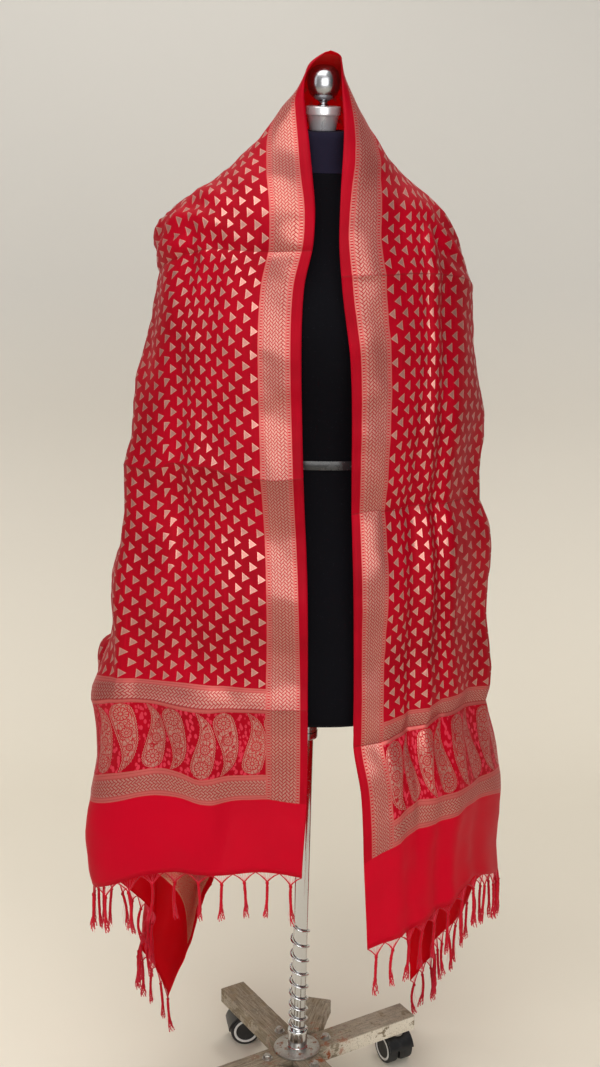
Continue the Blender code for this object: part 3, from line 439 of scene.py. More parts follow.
class Half:
    """One half of the drape, from the peak down one side: -1 is the left one and 1 the right."""

    def __init__(self, side, rows, rear_rows):
        self.side = side
        self.z = level_heights()
        self.edge_x, self.edge_y, self.side_x, self.side_y = columns_at(rows, self.z)
        self.back_x, self.back_y, self.corner = columns_at(BACK_LEVELS, self.z)
        self.corner = self.corner + LOW_CORNER[side] * ramp(-self.z, *LOW_CORNER_LEVELS)
        # How far down the flat cloth each level lies, along the front selvedge and the middle.
        tiny = 1e-5 * np.arange(len(self.z))
        self.front_run = length_along(self.edge_x, self.edge_y, self.z) + tiny
        self.back_run = length_along(self.back_x, self.back_y, self.z) + tiny
        turn = np.linspace(0, math.pi / 2, 61)
        power = (2 / self.corner)[:, None]
        along = self.front_run[:, None] * np.cos(turn) ** power
        across = self.back_run[:, None] * np.sin(turn) ** power
        self.turn = turn
        self.arc = length_along(along, across)
        # Below the middle of the back, a level ends at the rear selvedge.
        beyond = np.clip(CLOTH_WIDTH / np.maximum(self.back_run, 1e-6), 0, 1) ** (self.corner / 2)
        last = np.arcsin(np.clip(beyond, 0, 1))
        self.end = np.array([np.interp(t, turn, arc) for t, arc in zip(last, self.arc)])
        falls = self.z < rear_rows[0][0]
        rear_x, rear_y = columns_at(rear_rows, self.z)
        self.back_x = np.where(falls, rear_x, self.back_x)
        self.back_y = np.where(falls, rear_y, self.back_y)
        self.outline()

    def outline(self):
        """The plan of every level, from the front selvedge round the side to the middle back."""
        t = np.linspace(0, math.pi / 2, 41)
        across = np.sin(t) ** (2 / FRONT_SQUARE[self.side])
        ahead = np.cos(t) ** (2 / FRONT_SQUARE[self.side])
        inward = np.cos(t) ** (2 / BACK_SQUARE)
        behind = np.sin(t) ** (2 / BACK_SQUARE)
        edge_x, edge_y = self.edge_x[:, None], self.edge_y[:, None]
        side_x, side_y = self.side_x[:, None], self.side_y[:, None]
        back_x, back_y = self.back_x[:, None], self.back_y[:, None]
        front_x = edge_x + (side_x - edge_x) * across
        front_y = side_y + (edge_y - side_y) * ahead
        rear_x = back_x + (side_x - back_x) * inward
        rear_y = side_y + (back_y - side_y) * behind
        x = np.concatenate([front_x, rear_x[:, 1:]], axis=1)
        y = np.concatenate([front_y, rear_y[:, 1:]], axis=1)
        run = length_along(x, y)
        self.front_length = run[:, len(t) - 1]
        self.round = run[:, -1]
        self.steps = np.linspace(0, 1, 161)
        self.x, self.y = [
            np.array([np.interp(self.steps * r[-1], r, line) for r, line in zip(run, lines)])
            for lines in (x, y)
        ]


def fold_walls(halves):
    """Shares the spare cloth of every level out into the back's folds, alike in both halves."""
    part = np.linspace(0, 1, 121)
    swings = []
    for half in halves.values():
        spare = half.end - half.front_length
        room = half.round - half.front_length
        low, high = np.zeros(len(half.z)), np.full(len(half.z), MOST_SWING)
        for _ in range(24):
            middle = (low + high) / 2
            lean = np.multiply.outer(middle, fold_share(part))
            taken = spare * np.mean(bessel(0, lean), axis=1)
            low = np.where(taken > room, middle, low)
            high = np.where(taken > room, high, middle)
        swings.append((low + high) / 2)
    for half in halves.values():
        half.swing = np.mean(swings, axis=0) * ramp(-half.z, *FOLD_LEVELS)
        half.wave = np.mean([(h.arc[:, -1] - h.front_length) / PLEATS for h in halves.values()], axis=0)
        # The run along the outline that each part of the spare cloth reaches.
        lean = np.multiply.outer(half.swing, fold_share(part))
        run = np.cumsum(bessel(0, lean), axis=1)
        run = run - run[:, :1]
        half.part = part
        half.run = run * ((half.round - half.front_length) / run[:, -1])[:, None]


def fold_share(part):
    """How much of the full swing the folds have, from the side (0) to the middle back (1)."""
    return 0.15 + 0.85 * ramp(part, 0.0, 0.34) - 0.25 * ramp(part, 0.86, 1.0)


def place(half, level, arc):
    """X and Y of points this far along one level, on the folds."""
    front = half.front_length[level]
    part = np.clip((arc - front) / max(half.end[level] - front, 1e-6), 0, 1)
    run = np.where(arc < front, arc, front + np.interp(part, half.part, half.run[level]))
    u = np.clip(run / half.round[level], 0, 1)
    step = 0.5 / (len(half.steps) - 1)
    ahead, behind = np.clip(u + step, 0, 1), np.clip(u - step, 0, 1)
    x, y = [np.interp(u, half.steps, line[level]) for line in (half.x, half.y)]
    dx, dy = [
        np.interp(ahead, half.steps, line[level]) - np.interp(behind, half.steps, line[level])
        for line in (half.x, half.y)
    ]
    size = np.maximum(np.hypot(dx, dy), 1e-9)
    dx, dy = dx / size, dy / size
    out_x, out_y = -dy * half.side, dx * half.side
    lean = half.swing[level] * fold_share(part)
    phase = 2 * math.pi * (arc - front) / max(half.wave[level], 1e-6)
    inside = arc > front
    # The folds are narrower in the low corners, where the cloth hangs from fewer of them.
    narrowing = 1 - CORNER_NARROWING * ramp(-half.z[level], *CORNER_LEVELS)
    scale = min(half.wave[level], WIDEST_FOLD) * narrowing / (2 * math.pi)
    out = scale * (2 * bessel(1, lean) * np.cos(phase) + 2 / 3 * bessel(3, lean) * np.cos(3 * phase))
    along = scale * bessel(2, lean) * np.sin(2 * phase)
    fade = ramp(phase, 0, 1.8 * math.pi)
    z = half.z[level]
    out = np.where(inside, -out * fade, 0)
    along = np.where(inside, along * fade, 0)
    for side, centre, width, depth, top, bottom in FOLDS:
        if side == half.side:
            share = ramp(z, top + 0.06, top - 0.12) * ramp(z, bottom - 0.04, bottom + 0.06)
            out = out + depth * share * np.exp(-(((arc - centre) / width) ** 2))
    return x + out_x * out + dx * along, y + out_y * out + dy * along


def level_of(half, along, across):
    """Which level each point of the flat cloth hangs at, with the fraction to the next one."""
    low = np.ones(along.shape, int)
    high = np.full(along.shape, len(half.z) - 1)

    def beyond(level):
        power = half.corner[level]
        return (along / half.front_run[level]) ** power + (across / half.back_run[level]) ** power - 1

    while np.any(high - low > 1):
        middle = (low + high) // 2
        out = beyond(middle) > 0
        low = np.where(out, middle, low)
        high = np.where(out, high, middle)
    here, there = beyond(low), beyond(high)
    share = np.clip(here / np.maximum(here - there, 1e-9), 0, 1)
    return low, share


def drape(half, along, across):
    """Where points of the flat cloth hang: along from the peak and across from the selvedge."""
    along, across = np.broadcast_arrays(np.asarray(along, float), np.asarray(across, float))
    shape = along.shape
    along, across = along.ravel(), across.ravel()
    level, share = level_of(half, along, across)
    z = half.z[level] + (half.z[level + 1] - half.z[level]) * share
    points = np.zeros((len(along), 3))
    points[:, 2] = z
    for number in np.unique(level):
        chosen = np.flatnonzero(level == number)
        near = np.zeros((2, len(chosen), 2))
        for step in (0, 1):
            at = number + step
            power = half.corner[at] / 2
            turn = np.arctan2(
                (across[chosen] / half.back_run[at]) ** power,
                (along[chosen] / half.front_run[at]) ** power,
            )
            arc = np.interp(turn, half.turn, half.arc[at])
            near[step] = np.transpose(place(half, at, arc))
        part = share[chosen][:, None]
        points[chosen, :2] = near[0] * (1 - part) + near[1] * part
    return points.reshape(shape + (3,))


# ---------------------------------------------------------------- the stole

# The flat cloth from the point over the finial to each end. It lies a little up or down, and in
# or out, from its even place on the level curves: each row below is how far, in millimetres, at
# the stops across the cloth. The first number in a row is how far down the cloth it is.
LEFT_FLAT = 1.2135
RIGHT_FLAT = 1.2205
DOWN_STOPS = (0, 0.03, 0.058, 0.09, 0.12, 0.147, 0.17, 0.207, 0.235, 0.26, 0.29, 0.32, 0.45, 0.65, 0.92)
SLID_DOWN = {
    -1: [
        (0, (0,) * 15),
        (0.943, (-71, -71, -72, -74, -77, -80, -83, -87, -90, -93, -92, -91, -70, -25, -12)),
        (0.978, (-73, -74, -75, -75, -77, -78, -82, -89, -92, -94, -89, -84, -65, -24, -12)),
        (1.072, (-70, -73, -74, -75, -76, -73, -81, -87, -85, -82, -77, -71, -55, -22, -13)),
        (1.110, (-66, -70, -74, -74, -72, -74, -81, -85, -83, -77, -71, -68, -50, -20, -14)),
        (1.2135, (-58, -63, -65, -65, -65, -68, -71, -68, -63, -53, -45, -42, -30, -18, -14)),
    ],
    1: [
        (0, (0,) * 15),
        (0.930, (-10, -15, -20, -27, -33, -37, -37, -36, -34, -32, -30, -26, -5, 25, 40)),
        (0.965, (-8, -14, -22, -30, -38, -43, -43, -42, -40, -38, -36, -30, -8, 26, 42)),
        (1.060, (20, 6, -12, -24, -25, -25, -25, -26, -26, -26, -24, -18, 0, 30, 48)),
        (1.097, (27, 9, -6, -16, -21, -26, -30, -29, -28, -24, -16, -10, 5, 35, 50)),
        (1.2205, (41, 31, 21, 10, 1, -8, -16, -24, -18, -10, -1, 6, 25, 48, 56)),
    ],
}
ACROSS_STOPS = (
    0, 0.0124, 0.0575, 0.0837, 0.1034, 0.1231, 0.1428, 0.1625, 0.1822, 0.2019, 0.2216, 0.2413, 0.261,
    0.2807, 0.35, 0.92,
)
SLID_ACROSS = {
    -1: [
        (0, (0,) * 16),
        (0.40, (3, 6, -1, -2, -5, -10, -16, -22, -28, -29, -28, -27, -25, -23, -18, 0)),
        (0.80, (0, 3, -3, -1, -3, -5, -9, -12, -16, -17, -19, -18, -16, -22, -18, 0)),
        (1.00, (0, 0, 0, -1, -2, -3, -4, -4, -4, -4, -4, -4, -1, 4, 4, 0)),
        (1.2135, (0, 0, 0, -1, -2, -3, -4, -4, -4, -4, -4, -4, -1, 4, 4, 0)),
    ],
    1: [
        (0, (0,) * 16),
        (0.37, (4, 6, -1, -2, -5, -13, -24, -31, -39, -39, -31, -30, -28, -26, -20, 0)),
        (0.72, (2, 3, -10, -17, -26, -32, -37, -47, -56, -67, -70, -59, -43, -38, -30, 0)),
        (0.96, (1, 2, -15, -18, -25, -33, -39, -42, -44, -46, -47, -45, -42, -40, -30, 0)),
        (1.2205, (1, 2, -15, -18, -25, -33, -39, -42, -44, -46, -47, -45, -42, -40, -30, 0)),
    ],
}
PRESSED_FOLDS = {
    # side: (how far along, 1 where it stands out and -1 where it goes in)
    -1: ((0.303, -1), (0.620, 1), (0.972, 1)),
    1: ((0.311, 1), (0.629, -1), (0.960, -1)),
}
PRESS_DEPTH = 0.0098
PRESS_REACH = 0.023
PRESS_STOPS = (-0.005, -0.0015, 0, 0.0015, 0.005)  # lines of the grid around each pressed fold
FINE_STEPS, COARSE_STEPS = (0.0028, 0.0036), (0.0092, 0.0082)  # of the grid: along and across
# The tables of slides are read into even grids of these steps, this far down the cloth.
SLIDE_DOWN, SLIDE_ACROSS, SLIDE_REACH = 0.01, 0.005, 1.3
RIPPLES = [
    # wavelength, height
    (0.31, 0.0016), (0.19, 0.0011), (0.11, 0.0007), (0.06, 0.00035), (0.033, 0.00018),
]
RIDGES = [
    # side, from the selvedge, width before and after, height, from, to along the cloth
    (-1, 0.132, 0.012, 0.050, 0.0065, 0.80, 1.10),
    (-1, 0.215, 0.030, 0.030, -0.0040, 0.85, 1.10),
    (-1, 0.068, 0.035, 0.035, -0.0020, 0.92, 1.15),
    (1, 0.070, 0.030, 0.006, 0.0060, 0.88, 1.20),
    (1, 0.150, 0.025, 0.012, 0.0045, 0.70, 1.15),
    (1, 0.110, 0.010, 0.020, -0.0030, 0.60, 1.10),
    (1, 0.215, 0.018, 0.018, 0.0040, 0.30, 1.00),
    (-1, 0.185, 0.012, 0.040, 0.0030, 0.25, 0.75),
    (1, 0.090, 0.020, 0.012, -0.0025, 0.10, 0.40),
    (1, 0.150, 0.013, 0.013, 0.0060, 0.18, 0.95),
    (1, 0.180, 0.010, 0.016, -0.0065, 0.18, 1.00),
    (1, 0.118, 0.012, 0.010, -0.0040, 0.40, 1.05),
    (-1, 0.160, 0.012, 0.012, 0.0040, 0.20, 0.70),
    (-1, 0.188, 0.010, 0.014, -0.0045, 0.20, 0.80),
    (-1, 0.262, 0.014, 0.012, 0.0045, 0.45, 1.00),
]
PINCHES = [
    # side, along, across, reach, height, direction of its ridges in turns, ridges
    (1, 0.126, 0.245, 0.050, 0.0068, 0.12, 3.0),
    (1, 0.190, 0.300, 0.060, 0.0047, 0.30, 2.5),
    (-1, 0.072, 0.135, 0.050, 0.0041, 0.20, 2.5),
    (-1, 0.255, 0.175, 0.055, 0.0054, 0.06, 2.5),
    (-1, 0.225, 0.255, 0.050, 0.0047, 0.38, 2.5),
    (1, 0.255, 0.200, 0.050, 0.0047, 0.40, 2.5),
    (-1, 0.170, 0.290, 0.070, 0.0041, 0.45, 2.0),
]


def wrinkles(along, across):
    """How far the cloth stands out from its level curves: pressed folds, ridges and ripples."""
    out = np.zeros(np.broadcast(along, across).shape)
    for side, folds in PRESSED_FOLDS.items():
        for run, way in folds:
            away = np.abs(side * along - run)
            fade = 1 - 0.45 * ramp(across, 0.17, 0.30)
            out = out + way * PRESS_DEPTH * fade * np.exp(-away / PRESS_REACH)
    for side, centre, before, after, height, start, end in RIDGES:
        run = side * along
        share = ramp(run, start, start + 0.12) * (1 - ramp(run, end, end + 0.12))
        away = across - centre
        width = np.where(away < 0, before, after)
        out = out + height * share * np.exp(-np.abs(away / width) ** 1.4)
    for side, run, centre, reach, height, turn, count in PINCHES:
        dx, dy = side * along - run, across - centre
        near = np.exp(-((dx / reach) ** 2) - (dy / reach) ** 2)
        line = dx * math.cos(2 * math.pi * turn) + dy * math.sin(2 * math.pi * turn)
        out = out + height * near * np.cos(2 * math.pi * count * line / (2 * reach))
    chance = np.random.default_rng(7)
    for wavelength, height in RIPPLES:
        for _ in range(4):
            turn = chance.normal(0.0, 0.7)
            start = chance.uniform(0, 2 * math.pi)
            line = along * math.cos(turn) + across * math.sin(turn)
            crossing = (across * 1.3 - along * 0.7) / wavelength / 2.7
            bend = 0.3 * np.sin(2 * math.pi * crossing + start)
            out = out + height * np.sin(2 * math.pi * line / wavelength + start + bend)
    # The cloth stays close over the finial.
    return out * ramp(np.hypot(along, across), 0.02, 0.16)


def spaced(end, fine, coarse, reach):
    """Stops from 0 to end whose steps grow from fine to coarse."""
    stops = [0.0]
    while stops[-1] < end - coarse / 2:
        here = stops[-1]
        stops.append(here + fine + (coarse - fine) * float(ramp(here, 0.0, reach)))
    return np.array(stops) * end / stops[-1]


def cloth_lines():
    """The stops of the cloth's grid: along it, from the left end to the right, and across it."""
    sides = []
    for side, length in ((-1, LEFT_FLAT), (1, RIGHT_FLAT)):
        stops = spaced(length, FINE_STEPS[0], COARSE_STEPS[0], 0.12)
        folds = [run + step for run, _ in PRESSED_FOLDS[side] for step in PRESS_STOPS]
        kept = [s for s in stops if min(abs(s - f) for f in folds) > 0.0012]
        sides.append(np.unique(np.concatenate([kept, folds])))
    along = np.concatenate([-sides[0][::-1], sides[1][1:]])
    return along, spaced(CLOTH_WIDTH, FINE_STEPS[1], COARSE_STEPS[1], 0.07)


def outward(grid):
    """Unit normals of a grid of points that runs along the cloth, then across it."""
    normal = np.cross(np.gradient(grid, axis=0), np.gradient(grid, axis=1))
    return normal / np.maximum(np.linalg.norm(normal, axis=2, keepdims=True), 1e-12)


def slide_table(rows, stops):
    """The slides of one half as an even grid, down the cloth and across it, in metres."""
    downs = np.linspace(0, SLIDE_REACH, round(SLIDE_REACH / SLIDE_DOWN) + 1)
    acrosses = np.linspace(0, CLOTH_WIDTH, round(CLOTH_WIDTH / SLIDE_ACROSS) + 1)
    dense = [hermite(acrosses, np.array(stops), np.array(values) / 1000) for _, values in rows]
    runs = np.array([run for run, _ in rows])
    downs = np.minimum(downs, runs[-1])
    return np.transpose([hermite(downs, runs, column) for column in np.transpose(dense)])


def looked_up(table, down, across):
    """The table's value between its stops."""
    last = np.array(table.shape) - 1.001
    i, j = np.clip(down / SLIDE_DOWN, 0, last[0]), np.clip(across / SLIDE_ACROSS, 0, last[1])
    row, column = i.astype(int), j.astype(int)
    i, j = i - row, j - column
    upper = table[row, column] * (1 - j) + table[row, column + 1] * j
    lower = table[row + 1, column] * (1 - j) + table[row + 1, column + 1] * j
    return upper * (1 - i) + lower * i


def hung(halves, along, across):
    """The grid of points where the cloth hangs."""
    grid = np.zeros((len(along), len(across), 3))
    for side, here in ((-1, along < 0), (1, along >= 0)):
        down, over = np.broadcast_arrays(side * along[here][:, None], across[None, :])
        sideways = looked_up(slide_table(SLID_ACROSS[side], ACROSS_STOPS), down, over)
        over = np.clip(over + sideways, 0, CLOTH_WIDTH)
        downward = looked_up(slide_table(SLID_DOWN[side], DOWN_STOPS), down, over)
        down = np.maximum(down + downward, 0)
        grid[here] = drape(halves[side], down, over)
    return grid


def new_mesh(name, points, faces, materials, places=None):
    """An object from points and faces; places gives each face's material."""
    mesh = bpy.data.meshes.new(name)
    mesh.from_pydata([tuple(p) for p in points], [], faces)
    for finish in materials:
        mesh.materials.append(finish.material)
    if places is not None:
        mesh.polygons.foreach_set("material_index", places)
    mesh.shade_smooth()
    return link(bpy.data.objects.new(name, mesh))


def cloth_sheet(halves, face, reverse):
    """The stole as one thin closed sheet with its place on the flat cloth as its UV map."""
    along, across = cloth_lines()
    grid = hung(halves, along, across)
    relief = wrinkles(along[:, None], across[None, :])
    middle = grid + outward(grid) * relief[:, :, None]
    normal = outward(middle)
    rows, columns = middle.shape[:2]
    centre = np.array(CENTRE)
    points = np.concatenate([middle + normal * SHEET, middle - normal * SHEET])
    points = points.reshape(-1, 3) + centre
    number = np.arange(rows * columns).reshape(rows, columns)
    a, b = number[:-1, :-1].ravel(), number[1:, :-1].ravel()
    c, d = number[1:, 1:].ravel(), number[:-1, 1:].ravel()
    count = rows * columns
    outer = np.stack([a, b, c, d], axis=1)
    inner = np.stack([a, d, c, b], axis=1) + count
    rim = np.concatenate([number[:, 0], number[-1, 1:], number[-2::-1, -1], number[0, -2:0:-1]])
    after = np.roll(rim, -1)
    edge = np.stack([after, rim, rim + count, after + count], axis=1)
    faces = np.concatenate([outer, inner, edge])
    places = np.repeat([0, 1, 0], [len(outer), len(inner), len(edge)])
    stole = new_mesh("stole", points, faces.tolist(), [face, reverse], places)
    flat = np.stack(np.meshgrid(along, across, indexing="ij"), axis=2).reshape(-1, 2)
    flat = np.concatenate([flat, flat])
    layout = stole.data.uv_layers.new(name="flat_cloth")
    layout.data.foreach_set("uv", flat[faces.ravel()].astype(np.float32).ravel())
    return stole, across, middle + centre, normal


# ---------------------------------------------------------------- the woven pattern

RED = shade(196, 0, 36)
DEEP_RED = shade(150, 0, 22)
ZARI = shade(208, 158, 144)
ZARI_DULL = shade(168, 104, 98)
BAND_PINK = shade(194, 104, 98)
LINE_BROWN = shade(122, 26, 30)
# half the width of the painted shade line in each pressed crease
CREASE_SHADE_HALF_WIDTH = 0.0009
LIT_RED = shade(248, 4, 34)
BUD_PINK = shade(208, 56, 76)
# the paler colour painted on the fringe's finest threads, for the light that passes through them
SEE_THROUGH_GLOW_PINK = shade(222, 60, 84)
PINK_GLOSS = (1.0, 0.35, 0.38, 1)

PLAIN_SELVEDGE = 0.0124
BORDER_END = 0.0575
DASH = 0.0039
BONE = (0.0046, 0.0053)  # a bone's pitch across its columns and along them
# Across the border from the selvedge, and across a band from its outer edge.
LADDERS = ((0.0138, 0.0166), (0.0519, 0.0549))
RUNGS = (0.20, 0.62)
BORDER_BONES = (0.0180, 0.0505)
BAND_BONES = (0.0070, 0.0286)
BAND_LINES = ((0.0022, 0.0029), (0.0056, 0.0064), (0.0292, 0.0300), (0.0338, 0.0345))
# The bands at each end, from the end of the plain cloth inward.
PLAIN_END = {-1: 0.104, 1: 0.1235}
LOW_BAND = (0.0, 0.0372)
HIGH_BAND = (0.1316, 0.1666)
PAISLEY_PERIOD = 0.0718
PAISLEY_AT = {-1: 0.115, 1: 0.073}
HEADS_DOWN_SHIFT = 0.0040
# The paisley's body as circles from its head to its tail: across, down and radius, in mm.
PAISLEY = [
    (-1.5, 15.8, 14.6), (0.0, 22.0, 14.8), (2.6, 32.0, 14.4), (5.2, 43.0, 13.2), (7.0, 54.0, 11.4),
    (7.0, 65.0, 9.2), (5.0, 76.0, 6.6), (1.0, 84.0, 4.2), (-4.0, 90.0, 2.0), (-7.0, 93.4, 0.7),
]
ROSETTES = [(-1.5, 17.0, 10.6), (4.6, 43.0, 7.8), (7.6, 62.5, 5.2)]  # across, down, radius, in mm
PETALS = 12
PART_DEPTH = 0.0950
# A drawn curve lies between 0 and 1, so the paisley's middle and half width are shares of these.
MIDDLE_SPAN, WIDTH_SPAN = 0.04, 0.02
STEPPED_EDGE = (1650, 0.0005)  # radians in a metre, and the depth of the woven edge's steps
TRIANGLE_ROWS = 58  # from the point over the finial to each high band
TRIANGLE_STEP = 0.0197
TRIANGLE_LENGTH = 0.0096
TRIANGLE_SLOPE = 0.74  # of its two long sides
TRIANGLE_RIM = (0.0007, 0.0018)


def body_outline(steps=17):
    """The paisley's middle line and half width at heights from its head to its tail, in metres."""
    table = np.array(PAISLEY) / 1000
    part = np.linspace(0, len(table) - 1, 400)
    x, y, radius = [np.interp(part, np.arange(len(table)), column) for column in table.T]
    top, bottom = (y - radius).min(), (y + radius).max()
    share = np.linspace(0, 1, steps)
    heights = top + (bottom - top) * (0.55 * share**2 + 0.45 * share)
    rows = []
    for height in heights:
        half = np.sqrt(np.maximum(radius**2 - (y - height) ** 2, 0))
        touched = half > 0
        if touched.any():
            low, high = (x - half)[touched].min(), (x + half)[touched].max()
        else:
            nearest = np.argmin(np.abs(y - height) - radius)
            low = high = x[nearest]
        rows.append((height, (low + high) / 2, (high - low) / 2))
    return rows


def drawn(finish, value, points):
    """A smooth line through points, as a Float Curve node."""
    node = finish.tree.nodes.new("ShaderNodeFloatCurve")
    line = node.mapping.curves[0]
    line.points[0].location, line.points[1].location = points[0], points[-1]
    for x, y in points[1:-1]:
        line.points.new(x, y)
    node.mapping.update()
    finish.plug(node.inputs["Value"], value)
    return Number(finish, node.outputs[0])


def paisley(finish, x, y, veins):
    """One paisley: how far inside its edge a point is, and the share of dark line there."""
    rows = body_outline()
    part = y / PART_DEPTH
    middles = [(height / PART_DEPTH, 0.5 + middle / MIDDLE_SPAN) for height, middle, _ in rows]
    widths = [(height / PART_DEPTH, width / WIDTH_SPAN) for height, _, width in rows]
    middle = (drawn(finish, part, middles) - 0.5) * MIDDLE_SPAN
    width = drawn(finish, part, widths) * WIDTH_SPAN
    inside = width - abs(x - middle) + (y * STEPPED_EDGE[0]).sine() * STEPPED_EDGE[1]
    line = veins * (inside > 0.0030)
    for across, down, size in ROSETTES:
        size = size / 1000
        dx, dy = x - across / 1000, y - down / 1000
        away = (dx * dx + dy * dy).root()
        turn = dy.maths("ARCTAN2", dx)
        ray = (turn * PETALS).sine()
        petals = (ray > 0.35) * away.within(0.36 * size, 0.80 * size)
        edge = away + (ray * 0.035 + 0.035) * size
        rings = edge.within(size - 0.0018, size - 0.0002) + away.within(0.20 * size, 0.34 * size)
        here = away < size
        line = line * (1 - here) + (petals * 0.9 + rings).least(1.0) * here
    outline = inside.within(0.0010, 0.0024)
    return inside, (line + outline).least(1.0)


def parquet(x, y):
    """The dark seams of a herringbone of short bones, two widths long."""
    first, second = x / BONE[0] + y / BONE[1], y / BONE[1] - x / BONE[0]
    i, j = first.floor(), second.floor()
    p, q = first - i, second - j
    turn = (i - j) % 4
    level = turn < 1.5
    along = level * (turn + p) + (1 - level) * (3 - turn + q)
    across = level * q + (1 - level) * p
    side = across.least(1 - across)
    end = along.least(2 - along)
    return 1 - side.least(end).rising(0.07, 0.18)


def weave(finish):
    """The layout that both faces share: masks of zari, band, bud and dark line, and the rest."""
    flat = finish.place("UV")
    v, u, _ = finish.parts(flat)
    right = v > 0
    from_end = (v + LEFT_FLAT).least(RIGHT_FLAT - v)
    run = from_end - PLAIN_END[-1] - right * (PLAIN_END[1] - PLAIN_END[-1])
    in_from = u.least(CLOTH_WIDTH - u)
    woven = run > 0
    border = in_from.within(PLAIN_SELVEDGE, BORDER_END) * woven
    middle = (in_from > BORDER_END) * woven
    low, high = run.within(*LOW_BAND) * middle, run.within(*HIGH_BAND) * middle
    banded = low + high
    in_band = run * low + (HIGH_BAND[1] - run) * high
    # The border, from the selvedge in: rail, ladder, line, bones, line, ladder, rail.
    ladder = sum(in_from.within(*line) for line in LADDERS) * border
    rungs = ((v / DASH) % 1).within(*RUNGS) * ladder
    border_bones = in_from.within(*BORDER_BONES) * border
    band_bones = in_band.within(*BAND_BONES) * banded
    bones = border_bones + band_bones
    bones_across = (in_from - BORDER_BONES[0]) * border_bones + (in_band - BAND_BONES[0]) * band_bones
    seams = parquet(bones_across, v * border_bones + u * band_bones) * bones
    band_lines = sum(in_band.within(*line) for line in BAND_LINES) * banded
    rails = (border - ladder - border_bones) + (banded - band_bones)
    # The paisleys between the bands: heads up and heads down by turns, with buds in the gaps.
    paisleys = run.within(LOW_BAND[1], HIGH_BAND[0]) * middle
    warp = finish.noise(flat, 150.0, 1.0)
    vein_cells = finish.cells(finish.stretched(flat, 1.0, 1.35, 1.0), 175.0)
    veins = 1 - (vein_cells + (warp - 0.5) * 0.08).rising(0.055, 0.105)
    step = (u - PAISLEY_AT[-1] + right * (PAISLEY_AT[-1] - PAISLEY_AT[1])) / PAISLEY_PERIOD
    x_up = -(((step + 0.5) % 1) - 0.5) * PAISLEY_PERIOD
    x_down = -((step % 1) - 0.5) * PAISLEY_PERIOD - HEADS_DOWN_SHIFT
    inside_up, line_up = paisley(finish, x_up, HIGH_BAND[0] - run, veins)
    inside_down, line_down = paisley(finish, x_down, run - LOW_BAND[1], veins)
    body_up, body_down = inside_up > 0, (inside_down > 0) * (inside_up < 0)
    paisley_zari = body_up * (1 - line_up * 0.92) + body_down * (1 - line_down * 0.92)
    gap = -(inside_up.most(inside_down))
    bud_cells = finish.cells(finish.stretched(flat, 0.66, 1.0, 1.0), 205.0, "F1")
    buds = (1 - (bud_cells + (warp - 0.5) * 0.25).rising(0.40, 0.47)) * (gap > 0.0016) * paisleys
    # The field of small triangles that point to the front selvedge.
    field = middle * (run > HIGH_BAND[1])
    left_pitch = (LEFT_FLAT - PLAIN_END[-1] - HIGH_BAND[1]) / TRIANGLE_ROWS
    right_pitch = (RIGHT_FLAT - PLAIN_END[1] - HIGH_BAND[1]) / TRIANGLE_ROWS
    row = v / (right * (right_pitch - left_pitch) + left_pitch)
    number = row.floor()
    y = abs(row - number - 0.5) * left_pitch
    across = (((u - BORDER_END) / TRIANGLE_STEP - (number % 2) * 0.5) % 1) * TRIANGLE_STEP
    inside = (across * TRIANGLE_SLOPE - y) * (across < TRIANGLE_LENGTH)
    triangle = inside.rising(0.0, 0.0005) * field
    rim = triangle * (1 - inside.least((TRIANGLE_LENGTH - across) * 1.2).rising(*TRIANGLE_RIM))
    zari = (ladder - rungs) * 0.9 + bones * (1 - seams) + paisleys * paisley_zari + triangle
    return {
        "v": v, "flat": flat, "run": run, "zari": zari, "rails": rails, "seams": seams,
        "band_lines": band_lines, "buds": buds, "plain_end": 1 - woven, "field": field,
        "rim": rim, "triangle": triangle, "border": border, "banded": banded, "paisleys": paisleys,
        "ladder": ladder, "rungs": rungs,
    }


def painted_crease_shade(v):
    """Painted shade: thin dark lines in the creases where the cloth was folded up for sale."""
    folds = [side * along for side, rows in PRESSED_FOLDS.items() for along, _ in rows]
    return sum(v.within(shaded_fold - CREASE_SHADE_HALF_WIDTH, shaded_fold + CREASE_SHADE_HALF_WIDTH) for shaded_fold in folds)


def glowing(finish, share):
    """Mix light that passes through the cloth into its finish."""
    tree = finish.tree
    thin = finish.add("ShaderNodeBsdfTranslucent", {}, {"Color": (*LIT_RED, 1)})
    mixed = tree.nodes.new("ShaderNodeMixShader")
    for socket, value in zip(mixed.inputs, (share, Number(finish, finish.shader.outputs[0]), thin)):
        finish.plug(socket, value)
    tree.links.new(mixed.outputs[0], tree.nodes["Material Output"].inputs["Surface"])


def silk_finish(name):
    """The silk of one face, with the weave's layout, fine threads and broad unevenness on it."""
    finish = Finish(name, Sheen_Weight=0.05, Sheen_Roughness=0.35, Specular_IOR_Level=0.22)
    finish.set(Sheen_Tint=(1.0, 0.25, 0.30, 1), Specular_Tint=PINK_GLOSS)
    made = weave(finish)
    threads = finish.noise(finish.stretched(made["flat"], 0.35, 1.0, 1.0), 900.0, 2.0)
    finish.set(Alpha=1.0 - made["plain_end"] * (0.10 - (threads - 0.5) * 0.12))
    return finish, made, threads, finish.noise(made["flat"], 9.0, 3.0)


